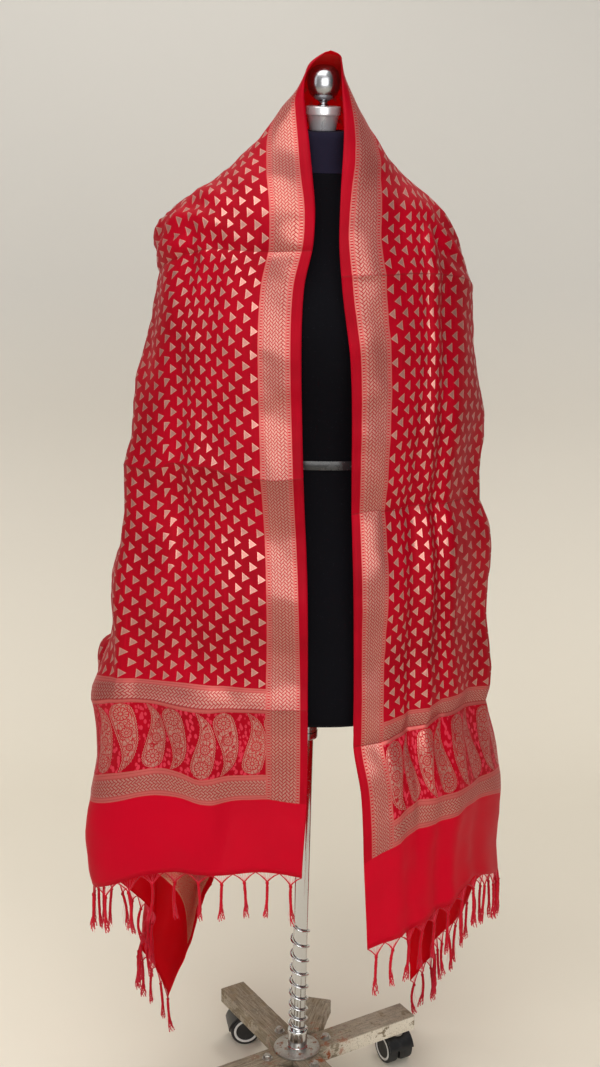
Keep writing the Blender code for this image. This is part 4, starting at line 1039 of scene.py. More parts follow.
def stole_face():
    """The outer face: red silk with metallic zari on it, and the thin plain ends."""
    finish, made, threads, broad = silk_finish("stole_face")
    flat, zari, rails = made["flat"], made["zari"], made["rails"]
    slubs = finish.noise(finish.stretched(flat, 0.05, 1.0, 1.0), 260.0, 2.0)
    silk = finish.blend((broad - 0.30) * 1.5, DEEP_RED, RED)
    silk = finish.blend((slubs - 0.52) * 1.2, silk, shade(206, 6, 42))
    silk = finish.blend(made["plain_end"] * 0.7, silk, shade(208, 0, 40))
    silk = finish.blend(made["buds"], silk, BUD_PINK)
    metal = finish.blend((threads - 0.32) * 1.6 + made["rim"] * 0.6, ZARI_DULL, ZARI)
    metal = finish.blend((broad - 0.45) * 0.8, metal, shade(216, 146, 126))
    metal = finish.blend(made["triangle"] * 0.6 - made["rim"], metal, shade(180, 128, 120))
    colour = finish.blend(rails, silk, finish.blend(threads, shade(184, 80, 78), BAND_PINK))
    colour = finish.blend(zari, colour, metal)
    colour = finish.blend(made["seams"] * 0.72 + made["band_lines"] * 0.5, colour, LINE_BROWN)
    # Painted shade: a thin dark line in each pressed crease.
    colour = finish.blend(painted_crease_shade(made["v"]) * 0.5, colour, LINE_BROWN)
    relief = zari * 0.8 + rails * 0.5 + threads * 0.25
    finish.set(
        Base_Color=colour,
        Metallic=zari * 0.60 + rails * 0.40,
        Roughness=0.52 - zari * 0.20 - rails * 0.12 + (threads - 0.5) * 0.12,
        Normal=finish.relief(relief, 0.00012, 0.55),
    )
    glowing(finish, 0.28 - zari * 0.20 - rails * 0.16)
    return finish


def stole_reverse():
    """The inner face: the zari floats show as a stipple, brighter along the border's lines."""
    finish, made, threads, broad = silk_finish("stole_reverse")
    flat = made["flat"]
    grain = finish.noise(flat, 620.0, 2.0, 0.7)
    floats = finish.noise(finish.stretched(flat, 0.3, 1.0, 1.0), 520.0, 2.0)
    stipple = grain.rising(0.43, 0.51)
    patterned = made["border"] + made["banded"] + made["paisleys"]
    lines = (made["ladder"] - made["rungs"]) + made["run"].within(0.0, 0.0025) * patterned
    lines = lines + made["paisleys"] * floats.rising(0.55, 0.62) * 0.6
    zari = (patterned * stipple * 0.95 + lines).least(1.0)
    below_hood = abs(made["v"]).rising(0.08, 0.20)
    zari = zari * (below_hood * 0.75 + 0.25)
    zari = zari + made["field"] * (made["zari"] * 0.22 + floats.rising(0.62, 0.70) * 0.16)
    silk = finish.blend((broad - 0.35) * 1.4, DEEP_RED, shade(208, 0, 32))
    metal = finish.blend(threads, shade(180, 100, 82), shade(230, 168, 136))
    finish.set(
        Base_Color=finish.blend(zari, silk, metal),
        Metallic=zari * 0.25,
        Roughness=0.56 - zari * 0.12,
        Normal=finish.relief(zari * 0.6 + threads * 0.4, 0.00012, 0.5),
    )
    glowing(finish, 0.66 - zari * 0.50)
    return finish


def silk_yarn():
    """The fringe's twisted silk; its finest threads are paler because light passes through."""
    finish = Finish("fringe_silk", Sheen_Weight=0.08, Sheen_Roughness=0.4, Specular_IOR_Level=0.25)
    finish.set(Specular_Tint=PINK_GLOSS)
    place = finish.place()
    fine = finish.add("ShaderNodeAttribute", {"attribute_name": "fine"}, out=2)
    twist = finish.noise(finish.stretched(place, 1.0, 1.0, 0.6), 1400.0, 2.0)
    broad = finish.noise(place, 60.0, 2.0)
    red = finish.blend(twist * 0.7 + broad * 0.5 - 0.2, DEEP_RED, shade(206, 2, 32))
    finish.set(
        # Painted light: the finest threads are painted paler, for the light that passes through them.
        Base_Color=finish.blend(fine, red, SEE_THROUGH_GLOW_PINK),
        Roughness=0.5 + twist * 0.2,
        Normal=finish.relief(twist, 0.0002, 0.6),
    )
    return finish


# ---------------------------------------------------------------- the fringes

LEG_DROP = 0.0118  # from the cloth's edge down to the knot
TAIL = (0.055, 0.065)  # the least and most length below the knot
STRANDS = 7
FAN_THREADS = 9
STRAYS = 3
LEG_THICKNESS = (0.00070, 0.00110)  # at the cloth and at the knot
STRAND_THICKNESS = 0.00090
FAN_THICKNESS = 0.00019
STRAY_THICKNESS = 0.00013
KNOT_RADII = (0.00160, 0.00150)
KNOT_TURNS = 1.6
KNOT_THICKNESS = 0.00115


def thread_tree(material):
    """Geometry Nodes that turn lines of points into round threads, a little astray."""
    graph, given = growing_graph(
        "threads", Lines=("Geometry", None), Stray=("Float", 0.001), Sides=("Int", 4),
    )
    curves = graph.add("GeometryNodeMeshToCurve", {}, {"Mesh": given["Lines"]})
    ripple = graph.add("ShaderNodeTexNoise", {}, {"Scale": 95.0, "Detail": 1.5}, "Color")
    centred = graph.add("ShaderNodeVectorMath", {"operation": "SUBTRACT"}, [ripple, (0.5, 0.5, 0.5)])
    reach = graph.attribute("loose") * given["Stray"]
    offset = graph.add("ShaderNodeVectorMath", {"operation": "SCALE"}, {"Vector": centred, "Scale": reach})
    moved = graph.add("GeometryNodeSetPosition", {}, {"Geometry": curves, "Offset": offset})
    ring = graph.add("GeometryNodeCurvePrimitiveCircle", {}, {"Resolution": given["Sides"], "Radius": 1.0})
    tube = graph.add("GeometryNodeCurveToMesh", {}, {
        "Curve": moved, "Profile Curve": ring, "Scale": graph.attribute("thick"), "Fill Caps": True,
    })
    graph.emit(tube, material)
    return graph.tree


def grown(guide, tree, name, **inputs):
    """The plain mesh that a Geometry Nodes tree makes from a guide object."""
    grower = guide.modifiers.new("grow", "NODES")
    grower.node_group = tree
    for item in tree.interface.items_tree:
        if item.item_type == "SOCKET" and item.in_out == "INPUT" and item.name in inputs:
            grower[item.identifier] = inputs[item.name]
    graph = bpy.context.evaluated_depsgraph_get()
    mesh = bpy.data.meshes.new_from_object(guide.evaluated_get(graph))
    bpy.data.objects.remove(guide)
    mesh.name = name
    mesh.shade_smooth()
    return link(bpy.data.objects.new(name, mesh))


class Lines:
    """Open lines of points, with how thick, loose and fine their threads are."""

    def __init__(self):
        self.points, self.edges, self.thick, self.loose, self.fine = [], [], [], [], []

    def add(self, points, thick, loose=0.0, fine=0.0):
        first = len(self.points)
        count = len(points)
        self.points += [tuple(p) for p in points]
        self.edges += [(first + k, first + k + 1) for k in range(count - 1)]
        for kept, values in ((self.thick, thick), (self.loose, loose), (self.fine, fine)):
            kept.extend(np.broadcast_to(values, count))

    def guide(self, name):
        mesh = bpy.data.meshes.new(name)
        mesh.from_pydata(self.points, self.edges, [])
        for label, values in (("thick", self.thick), ("loose", self.loose), ("fine", self.fine)):
            layer = mesh.attributes.new(label, "FLOAT", "POINT")
            layer.data.foreach_set("value", np.array(values, np.float32))
        return link(bpy.data.objects.new(name, mesh))


def tassel(lines, chance, left, right, inner, out, drift):
    """One knotted tassel: two legs and a fan of loose threads to its knot, then a twisted tail."""
    along = right - left
    width = np.linalg.norm(along)
    down = np.array([0.0, 0.0, -1.0])
    knot = (left + right) / 2 + down * (LEG_DROP + 0.35 * abs(along[2])) + out * 0.0022
    for foot in (left, right):
        part = np.linspace(0, 1, 6)[:, None]
        sag = down * 0.0016 * np.sin(math.pi * part)
        lines.add(foot + (knot - foot) * part - sag, np.linspace(*LEG_THICKNESS, 6), 0.3, 0.1)
    for k in range(FAN_THREADS):
        share = (k + 0.5) / FAN_THREADS + chance.uniform(-0.03, 0.03)
        foot = left + along * share + inner * 0.0008
        part = np.linspace(0, 1, 4)[:, None]
        end = knot + along / width * chance.uniform(-0.0008, 0.0008)
        lines.add(foot + (end - foot) * part, FAN_THICKNESS, 0.7, 1.0)
    # The knot: a tight wrap of the same yarn.
    wrap = np.linspace(0, 2 * math.pi * KNOT_TURNS, 15)
    side = along * np.array([1, 1, 0])
    side = side / max(np.linalg.norm(side), 1e-6)
    ahead = np.cross(side, down)
    ring = np.outer(np.cos(wrap), side) * KNOT_RADII[0] + np.outer(np.sin(wrap), ahead) * KNOT_RADII[1]
    lines.add(knot + ring + np.outer(wrap, down) * 0.00032, KNOT_THICKNESS)
    # The tail: strands twisted together that open towards the cut end.
    length = chance.uniform(*TAIL)
    turns = chance.uniform(1.6, 2.6)
    sway = side * chance.normal(0, 0.045) + ahead * chance.normal(0, 0.030) + drift
    bow = side * chance.normal(0, 0.0022)
    part = np.linspace(0, 1, 13)
    axis = knot + np.outer(part * length, down) + np.outer(part**1.5 * length, sway)
    axis = axis + np.outer(np.sin(math.pi * part), bow)
    flare = chance.uniform(0.5, 1.7)
    for k in range(STRANDS):
        turn = 2 * math.pi * (k / STRANDS + turns * part * (1 - 0.3 * part)) + chance.uniform(0, 0.5)
        reach = (0.0014 + 0.0001 * np.sin(9 * part)) * (0.6 + 0.4 * ramp(part, 0, 0.15))
        reach = reach + flare * 0.0019 * ramp(part, 0.55, 1.0) * chance.uniform(0.5, 1.3)
        ring = np.outer(np.cos(turn) * reach, side) + np.outer(np.sin(turn) * reach, ahead)
        end = 1 - 0.35 * ramp(part, 0.7, 1.0)
        cut = np.outer(part * chance.uniform(-0.004, 0.002), down)
        fine = 0.05 + 0.25 * ramp(part, 0.6, 1)
        lines.add(axis + ring + cut, STRAND_THICKNESS * end, ramp(part, 0.5, 1.0) * 0.6, fine)
    for _ in range(STRAYS):
        turn = chance.uniform(0, 2 * math.pi)
        away = side * math.cos(turn) + ahead * math.sin(turn)
        start = chance.uniform(0.25, 0.7)
        stray = start + (min(start + 0.45, 1.02) - start) * np.linspace(0, 1, 6)
        base = knot + np.outer(stray * length, down) + np.outer(stray**1.5 * length, sway)
        lines.add(base + np.outer((stray - start) ** 1.3 * 0.016, away), STRAY_THICKNESS, 1.0, 0.9)


def fringe(name, line, normal, across, silk, seed):
    """The tassels along one end of the cloth."""
    chance = np.random.default_rng(seed)
    stops = np.linspace(0, CLOTH_WIDTH, TASSELS + 1)

    def at(values, stop):
        return np.array([np.interp(stop, across, column) for column in values.T])

    lines = Lines()
    for first, last in zip(stops, stops[1:]):
        left, right = at(line, first + 0.0006), at(line, last - 0.0006)
        out = at(normal, (first + last) / 2)
        out[2] = 0
        out /= max(np.linalg.norm(out), 1e-6)
        along = right - left
        steep = float(ramp(abs(along[2]) / np.linalg.norm(along), 0.3, 0.8))
        tassel(lines, chance, left, right, -out, out * (1 + 1.2 * steep), out * 0.02 * steep)
    tree = thread_tree(silk.material)
    return grown(lines.guide(name + "_lines"), tree, name, Stray=0.0016, Sides=5)


# ---------------------------------------------------------------- the form and stand's sizes

LEAN = math.radians(1.4)  # the pole stands a little crooked in its hub, towards +X
LEAN_FROM = 0.06
FORM_SECTIONS = [
    # height, half_width, front, back
    (0.665, 0.150, 0.102, 0.102),
    (0.672, 0.160, 0.108, 0.108),
    (0.730, 0.165, 0.111, 0.112),
    (0.800, 0.164, 0.111, 0.116),
    (0.880, 0.152, 0.104, 0.106),
    (0.970, 0.130, 0.092, 0.088),
    (1.030, 0.121, 0.087, 0.080),
    (1.100, 0.129, 0.096, 0.085),
    (1.170, 0.145, 0.116, 0.092),
    (1.220, 0.157, 0.124, 0.096),
    (1.260, 0.163, 0.118, 0.097),
    (1.300, 0.166, 0.100, 0.093),
    (1.330, 0.163, 0.083, 0.087),
    (1.348, 0.148, 0.072, 0.079),
    (1.362, 0.115, 0.062, 0.070),
    (1.375, 0.078, 0.054, 0.059),
    (1.388, 0.055, 0.048, 0.050),
    (1.4045, 0.0440, 0.0430, 0.0430),
]
FORM_SQUARE = 2.25
NECK_SECTIONS = [
    (1.4050, 0.0434, 0.0424, 0.0424),
    (1.4100, 0.0418, 0.0408, 0.0408),
    (1.4350, 0.0390, 0.0380, 0.0380),
    (1.4520, 0.0385, 0.0375, 0.0375),
    (1.4550, 0.0370, 0.0360, 0.0360),
    (1.4556, 0.0345, 0.0335, 0.0335),
]
WAIST = 1.03
TAPE_AT = 1.0258
TAPE_HEIGHT = 0.0122
# How far up the tape, and how far out from the form.
TAPE_SECTION = ((0, 0.0010), (0, 0.0019), (0.08, 0.0023), (0.92, 0.0023), (1, 0.0019), (1, 0.0010))
POLE_PROFILE = [
    # radius, height; it ends inside the torso
    (0.0, 0.094), (0.0102, 0.094), (0.011, 0.0948), (0.011, 0.86), (0.0, 0.86),
]
CAP_PROFILE = [
    (0.0, 1.4558), (0.0162, 1.4558), (0.0169, 1.4562), (0.0172, 1.4572), (0.0206, 1.4742),
    (0.0212, 1.4750), (0.0222, 1.4753), (0.0227, 1.4760), (0.0228, 1.4772), (0.0228, 1.4846),
    (0.0226, 1.4856), (0.0219, 1.4863), (0.0180, 1.4866), (0.0, 1.4867),
]
FINIAL_PROFILE = [
    (0.0, 1.4865), (0.0072, 1.4865), (0.0070, 1.4874), (0.0058, 1.4886), (0.0050, 1.4902),
    (0.0052, 1.4916), (0.0074, 1.4930), (0.0110, 1.4947), (0.0150, 1.4978), (0.0182, 1.5022),
    (0.0204, 1.5080), (0.0213, 1.5140), (0.0212, 1.5190), (0.0203, 1.5245), (0.0184, 1.5296),
    (0.0152, 1.5338), (0.0108, 1.5364), (0.0056, 1.5378), (0.0, 1.5381),
]
SOCKET_PROFILE = [
    (0.0113, 0.6648), (0.0240, 0.6648), (0.0250, 0.6640), (0.0252, 0.6620), (0.0252, 0.6400),
    (0.0246, 0.6382), (0.0228, 0.6364), (0.0180, 0.6340), (0.0165, 0.6331), (0.0113, 0.6330),
]
CLAMP_PROFILE = [
    (0.0112, 0.6327), (0.0158, 0.6327), (0.0165, 0.6322), (0.0167, 0.6310), (0.0167, 0.6240),
    (0.0160, 0.6232), (0.0160, 0.6180), (0.0167, 0.6172), (0.0167, 0.6085), (0.0161, 0.6070),
    (0.0112, 0.6066),
]
SLEEVE_PROFILE = [
    (0.0113, 0.0936), (0.0150, 0.0936), (0.0156, 0.0942), (0.0156, 0.0962), (0.0148, 0.0968),
    (0.0147, 0.1190), (0.0153, 0.1196), (0.0153, 0.1232), (0.0146, 0.1244), (0.0113, 0.1245),
]
PLATE_PROFILE = [
    (0.0, 0.0890), (0.0338, 0.0890), (0.0350, 0.0898), (0.0352, 0.0912), (0.0348, 0.0926),
    (0.0336, 0.0934), (0.0220, 0.0937), (0.0, 0.0938),
]
# Of a bolt, up from the top of the leg.
WASHER_PROFILE = [(0.0, 0.0), (0.0078, 0.0), (0.0082, 0.0003), (0.0080, 0.0011), (0.0, 0.0012)]
HEAD_PROFILE = [
    (0.0, 0.0012), (0.0058, 0.0012), (0.0060, 0.0014), (0.0060, 0.0054), (0.0054, 0.0062), (0.0, 0.0063),
]
DOME_PROFILE = [(0.0, 0.0062), (0.0030, 0.0062), (0.0028, 0.0068), (0.0, 0.0071)]
STEM_PROFILE = [
    (0.0, 0.0505), (0.0082, 0.0505), (0.0088, 0.0512), (0.0088, 0.0590), (0.0104, 0.0598),
    (0.0112, 0.0606), (0.0112, 0.0634), (0.0106, 0.0637), (0.0, 0.0637),
]
# Of a wheel and the pale ring in its outer face: radius, and how far out from the castor's middle.
WHEEL_PROFILE = [
    (0.0, 0.0050), (0.0225, 0.0050), (0.0240, 0.0056), (0.0245, 0.0070), (0.0245, 0.0182),
    (0.0240, 0.0200), (0.0226, 0.0211), (0.0208, 0.0214), (0.0200, 0.0206), (0.0160, 0.0203),
    (0.0152, 0.0212), (0.0120, 0.0208), (0.0060, 0.0213), (0.0, 0.0215),
]
RING_PROFILE = [
    (0.0160, 0.0196), (0.0162, 0.0209), (0.0170, 0.0215), (0.0190, 0.0215), (0.0198, 0.0210),
    (0.0200, 0.0196),
]
AXLE_PROFILE = [(0.0, -0.0205), (0.0028, -0.0205), (0.0028, 0.0205), (0.0, 0.0205)]
LEG_WIDTH = 0.042
LEG_BOTTOM, LEG_TOP = 0.0641, 0.0889
LEG_REACH = 0.205
LEG_TURN = math.radians(31)
STUB_REACH = 0.142
RUST_SPOT = (0.0670, -0.0050)
BOLT_OUT = 0.052
CASTOR_AT = 0.186
CASTOR_TURNS = (118, 10, 250, 330)
TRAIL = 0.010
WHEEL_RADIUS = 0.0245
WHEEL_OUT = 0.0215
WEB_HALF = 0.004


def leaning():
    """The tilt of the pole and of all that it carries, in the whole's own place."""
    foot = Matrix.Translation(CENTRE + Vector((0, 0, LEAN_FROM)))
    return foot @ Matrix.Rotation(LEAN, 4, "Y") @ Matrix.Translation((0, 0, -LEAN_FROM))


def closed(made, angle=35):
    """Merges doubled points, turns the faces outward and sets which edges are sharp."""
    shaper = bmesh.new()
    shaper.from_mesh(made.data)
    bmesh.ops.remove_doubles(shaper, verts=shaper.verts, dist=1e-6)
    bmesh.ops.recalc_face_normals(shaper, faces=shaper.faces)
    shaper.to_mesh(made.data)
    shaper.free()
    made.data.shade_smooth()
    made.data.set_sharp_from_angle(angle=math.radians(angle))
    return made


def skin(name, rings, finish, move, joined_up=False, ends=False, angle=35):
    """A skin over rings of points, put in place by move; joined_up runs it back to the first ring."""
    sides, rows = len(rings[0]), len(rings)
    points = [point for ring in rings for point in ring]
    faces = []
    for row in range(rows if joined_up else rows - 1):
        here, over = row * sides, (row + 1) % rows * sides
        for k in range(sides):
            after = (k + 1) % sides
            faces.append((here + k, here + after, over + after, over + k))
    if ends:
        faces.append(tuple(range(sides))[::-1])
        faces.append(tuple((rows - 1) * sides + k for k in range(sides)))
    made = new_mesh(name, points, faces, [finish])
    made.data.transform(move)
    return closed(made, angle)


def lathe(name, profile, finish, move, sides=72, angle=35):
    """A solid of revolution about Z from a profile of (radius, height)."""
    turn = np.linspace(0, 2 * math.pi, sides, endpoint=False)
    rings = [[(r * math.cos(t), r * math.sin(t), z) for t in turn] for r, z in profile]
    hollow = profile[0][0] > 1e-6
    return skin(name, rings, finish, move, joined_up=hollow, angle=angle)


def form_ring(row, sides, grow=0.0):
    """One level ring of the form, a superellipse with its own front and back depth."""
    height, half_width, front, back = row
    ring = []
    for k in range(sides):
        turn = 2 * math.pi * k / sides
        c, s = math.cos(turn), math.sin(turn)
        depth = back if s > 0 else front
        x = (half_width + grow) * math.copysign(abs(c) ** (2 / FORM_SQUARE), c)
        y = (depth + grow) * math.copysign(abs(s) ** (2 / FORM_SQUARE), s)
        ring.append((x, y, height))
    return ring


def sections(table, heights):
    """The form's section table read at these heights."""
    known, *columns = np.array(table).T
    columns = [hermite(np.array(heights), known, column) for column in columns]
    return [(h, *[float(c[k]) for c in columns]) for k, h in enumerate(heights)]


def dress_form(jersey, neck_cloth, tape_finish):
    move = leaning()
    heights = [0.6652, 0.6656, 0.6665, 0.6685, *np.linspace(0.672, 1.4045, 96)]
    rings = [form_ring(row, 112) for row in sections(FORM_SECTIONS, heights)]
    torso = skin("dress_form", rings, jersey, move, ends=True)
    heights = [1.4050, 1.4062, 1.4080, *np.linspace(1.41, 1.4552, 14), 1.4556]
    rings = [form_ring(row, 96) for row in sections(NECK_SECTIONS, heights)]
    neck = skin("form_collar", rings, neck_cloth, move, ends=True)
    # The tape round the waist: a flat band with rounded edges.
    rings = []
    for part, stand in TAPE_SECTION:
        height = TAPE_AT + TAPE_HEIGHT * part
        rings.append(form_ring(sections(FORM_SECTIONS, [height])[0], 112, stand))
    tape = skin("waist_band", rings + rings[:1], tape_finish, move)
    return torso, neck, tape


def coil_tree(material):
    """Geometry Nodes that wind a spring round Z, its coils closer together at the foot."""
    graph, given = growing_graph(
        "coil", Start=("Geometry", None), Turns=("Float", 8.4), Radius=("Float", 0.0136),
        Height=("Float", 0.176), Foot=("Float", 0.1264), Wire=("Float", 0.0014),
    )
    spiral = graph.add("GeometryNodeCurveSpiral", {}, {
        "Resolution": 40, "Rotations": given["Turns"], "Start Radius": given["Radius"],
        "End Radius": given["Radius"], "Height": 1.0,
    })
    x, y, part = graph.parts(graph.add("GeometryNodeInputPosition", {}))
    height = (part * 0.70 + part * part * 0.30) * given["Height"] + given["Foot"]
    places = {"Geometry": spiral, "Position": graph.vector(x, y, height)}
    moved = graph.add("GeometryNodeSetPosition", {}, places)
    ring = graph.add("GeometryNodeCurvePrimitiveCircle", {}, {"Resolution": 12, "Radius": given["Wire"]})
    curves = {"Curve": moved, "Profile Curve": ring, "Fill Caps": True}
    graph.emit(graph.add("GeometryNodeCurveToMesh", {}, curves), material)
    return graph.tree


def spring(chrome):
    start = link(bpy.data.objects.new("coil_start", bpy.data.meshes.new("coil_start")))
    made = grown(start, coil_tree(chrome.material), "coil_spring")
    made.data.transform(leaning())
    return closed(made, 60)


def bar(name, start, end, turn, wood, seed):
    """A worn wooden bar along a bearing from the stand's centre."""
    shaper = bmesh.new()
    bmesh.ops.create_cube(shaper, size=1.0)
    length, height = end - start, LEG_TOP - LEG_BOTTOM
    middle = (LEG_TOP + LEG_BOTTOM) / 2
    bmesh.ops.scale(shaper, vec=(length, LEG_WIDTH, height), verts=shaper.verts)
    bmesh.ops.translate(shaper, vec=((start + end) / 2, 0, middle), verts=shaper.verts)
    bmesh.ops.bevel(shaper, geom=shaper.edges[:], offset=0.0014, segments=3, profile=0.5, affect="EDGES")
    long_edges = [e for e in shaper.edges if abs(e.verts[0].co.x - e.verts[1].co.x) > length * 0.7]
    cuts = int(length / 0.006)
    bmesh.ops.subdivide_edges(shaper, edges=long_edges, cuts=cuts, use_grid_fill=True)
    for vert in shaper.verts:
        spot = vert.co * 60 + Vector((seed * 7.3, 0, 0))
        worn = noise.noise(spot) * 0.5 + noise.noise(spot * 2.7) * 0.5
        aside = min(1.0, abs(vert.co.y) / (LEG_WIDTH / 2))
        corner = aside * min(1.0, abs(vert.co.z - middle) / (LEG_TOP - middle))
        inward = Vector((0, -vert.co.y, middle - vert.co.z)).normalized()
        vert.co += inward * max(0.0, worn) * 0.0011 * corner**3
    bmesh.ops.rotate(shaper, cent=(0, 0, 0), matrix=Matrix.Rotation(turn, 3, "Z"), verts=shaper.verts)
    bmesh.ops.translate(shaper, vec=CENTRE, verts=shaper.verts)
    mesh = bpy.data.meshes.new(name)
    shaper.to_mesh(mesh)
    shaper.free()
    mesh.materials.append(wood.material)
    return closed(link(bpy.data.objects.new(name, mesh)), 30)


def legs(wood):
    """The crossed bars and the two short ones between them."""
    side = LEG_WIDTH / 2 + 0.0003
    inner = LEG_WIDTH / 2 / math.tan(math.pi / 8) - 0.0008
    across, diagonal = LEG_TURN + math.pi / 2, LEG_TURN + math.pi / 4
    return {
        "beam": bar("cross_beam", -LEG_REACH, LEG_REACH, LEG_TURN, wood, 1),
        "leg_back": bar("back_leg", side, LEG_REACH, across, wood, 2),
        "leg_front": bar("front_leg", side, LEG_REACH, across + math.pi, wood, 3),
        "stub_back": bar("back_stub", inner, STUB_REACH, diagonal, wood, 4),
        "stub_front": bar("front_stub", inner, STUB_REACH, diagonal + math.pi, wood, 5),
    }


def on_leg(number, reach, height):
    """The place this far out along the bearing of leg number 1 to 4."""
    bearing = LEG_TURN + (number - 1) * math.pi / 2
    spot = Vector((reach * math.cos(bearing), reach * math.sin(bearing), height))
    return Matrix.Translation(CENTRE + spot)


def bolt(number, steel):
    """A hexagon bolt on its washer, with a chamfered head and a domed end."""
    place = on_leg(number, BOLT_OUT, LEG_TOP + 0.0004) @ Matrix.Rotation(0.37 * number, 4, "Z")
    pieces = [
        lathe(f"bolt_washer_{number}", WASHER_PROFILE, steel, place, 40),
        lathe(f"bolt_head_{number}", HEAD_PROFILE, steel, place, 6, 20),
        lathe(f"bolt_end_{number}", DOME_PROFILE, steel, place, 24),
    ]
    return joined(f"leg_bolt_{number}", pieces)


def joined(name, pieces):
    """Several pieces as one object, each keeping its finish."""
    shaper = bmesh.new()
    materials = []
    for piece in pieces:
        first = len(shaper.faces)
        shaper.from_mesh(piece.data)
        shaper.faces.ensure_lookup_table()
        for material in piece.data.materials:
            if material not in materials:
                materials.append(material)
        slots = [materials.index(m) for m in piece.data.materials]
        for face in shaper.faces[first:]:
            face.material_index = slots[face.material_index]
    mesh = bpy.data.meshes.new(name)
    shaper.to_mesh(mesh)
    shaper.free()
    for material in materials:
        mesh.materials.append(material)
    for piece in pieces:
        bpy.data.objects.remove(piece)
    return link(bpy.data.objects.new(name, mesh))


def castor_frame(number):
    """Where castor number's own axes lie: X the way it trails, Z up."""
    turn = math.radians(CASTOR_TURNS[number - 1])
    return on_leg(number, CASTOR_AT, 0) @ Matrix.Rotation(turn, 4, "Z")


def castor_hood(number, plastic, steel):
    """The arched hood over both wheels, the web between them and the stem above."""
    place = castor_frame(number)
    inner, outer = WHEEL_RADIUS + 0.0016, WHEEL_RADIUS + 0.0042
    # The hood's section: one half, its crown and the half's mirror image.
    half = [(inner, -WHEEL_OUT + 0.0006), (outer - 0.0010, -WHEEL_OUT), (outer, -WHEEL_OUT + 0.0012)]
    mirrored = [(radius, -depth) for radius, depth in half[::-1]]
    section = [*half, (outer + 0.0004, 0.0), *mirrored, (inner, 0.0)]
    rings = []
    for turn in np.radians(np.linspace(-8, 168, 40)):
        c, s = math.cos(turn), math.sin(turn)
        rings.append([(TRAIL + radius * c, depth, WHEEL_RADIUS + radius * s) for radius, depth in section])
    hood = skin(f"hood_{number}", rings, plastic, place, ends=True)
    reach = inner + 0.0006
    rings = []
    for depth in (-WEB_HALF, -WEB_HALF + 0.0005, WEB_HALF - 0.0005, WEB_HALF):
        turns = np.radians(np.linspace(-20, 200, 60))
        rings.append([
            (TRAIL + reach * math.cos(turn), depth, WHEEL_RADIUS + reach * math.sin(turn)) for turn in turns
        ])
    web = skin(f"web_{number}", rings, plastic, place, ends=True)
    stalk = lathe(f"stem_{number}", STEM_PROFILE, steel, place, 40)
    return joined(f"castor_hood_{number}", [hood, web, stalk])


def castor_wheels(number, tyre, ring_white):
    """Two wheels on one axle, each with a pale ring set in its outer face."""
    middle = Matrix.Translation((TRAIL, 0, WHEEL_RADIUS))
    axle = castor_frame(number) @ middle @ Matrix.Rotation(math.pi / 2, 4, "X")
    pieces = []
    for way in (-1, 1):
        place = axle @ Matrix.Diagonal((1, 1, way, 1))
        pieces.append(lathe(f"wheel_{number}_{way + 1}", WHEEL_PROFILE, tyre, place, 64, 40))
        pieces.append(lathe(f"wheel_ring_{number}_{way + 1}", RING_PROFILE, ring_white, place, 64, 40))
    pieces.append(lathe(f"axle_{number}", AXLE_PROFILE, tyre, axle, 20))
    return joined(f"castor_wheels_{number}", pieces)


# ---------------------------------------------------------------- the form and stand's finishes


def jersey_cover(name, colour, light):
    """Matt stretch cloth: fine ribs of stitches and a little lint."""
    finish = Finish(name, Sheen_Weight=0.01, Sheen_Roughness=0.5, Specular_IOR_Level=0.05)
    place = finish.place()
    x, y, z = finish.parts(place)
    turn = y.maths("ARCTAN2", x)
    rows = ((z * 2 * math.pi / 0.0011).sine() * (turn * 420).sine() + 1) * 0.5
    lint = finish.noise(place, 420.0, 2.0).rising(0.66, 0.74)
    broad = finish.noise(place, 11.0, 3.0)
    base = finish.blend(broad * 0.9, colour, light)
    # Sewn seams run down the front, the back and both sides of the bust.
    aside = abs(x - CENTRE.x - (z - LEAN_FROM) * math.tan(LEAN))
    above_waist = z - WAIST
    curve = above_waist * above_waist * 0.22 + 0.052
    seam = (abs(aside - curve) < 0.0007).most(aside < 0.0006)
    finish.set(
        Base_Color=finish.blend(lint * 0.15, base, shade(60, 60, 68)),
        Roughness=0.78 + (broad - 0.5) * 0.2,
        Normal=finish.relief(rows * 0.5 + broad * 0.3 - seam * 1.6, 0.0003, 0.35),
    )
    return finish


def polished(name, tint, wear, satin=0.07, metal=1.0):
    """Chrome plate with faint smears, and specks where it has worn."""
    finish = Finish(name, Metallic=metal)
    place = finish.place()
    smear = finish.noise(finish.stretched(place, 1.0, 1.0, 0.3), 55.0, 4.0)
    specks = finish.noise(finish.stretched(place, 1.0, 1.0, 0.5), 310.0, 3.0).rising(0.68, 0.72)
    dirt = specks * finish.noise(place, 24.0, 2.0).rising(0.50, 0.60) * wear
    finish.set(
        Base_Color=finish.blend(dirt, tint, shade(84, 74, 62)),
        Roughness=satin + smear * 0.12 + dirt * 0.5,
        Normal=finish.relief(smear, 0.0002, 0.12),
    )
    return finish


def moulded(name, colour, roughness):
    """Moulded plastic with a fine grain, dust and scuffs."""
    finish = Finish(name, Specular_IOR_Level=0.5)
    place = finish.place()
    grain = finish.noise(place, 900.0, 2.0)
    dust = finish.noise(place, 90.0, 4.0).rising(0.52, 0.78)
    pale = tuple(min(1.0, c * 1.5 + 0.045) for c in colour)
    finish.set(
        Base_Color=finish.blend(dust * 0.45, colour, pale),
        Roughness=roughness + dust * 0.22 + (grain - 0.5) * 0.1,
        Normal=finish.relief(grain, 0.0001, 0.3),
    )
    return finish


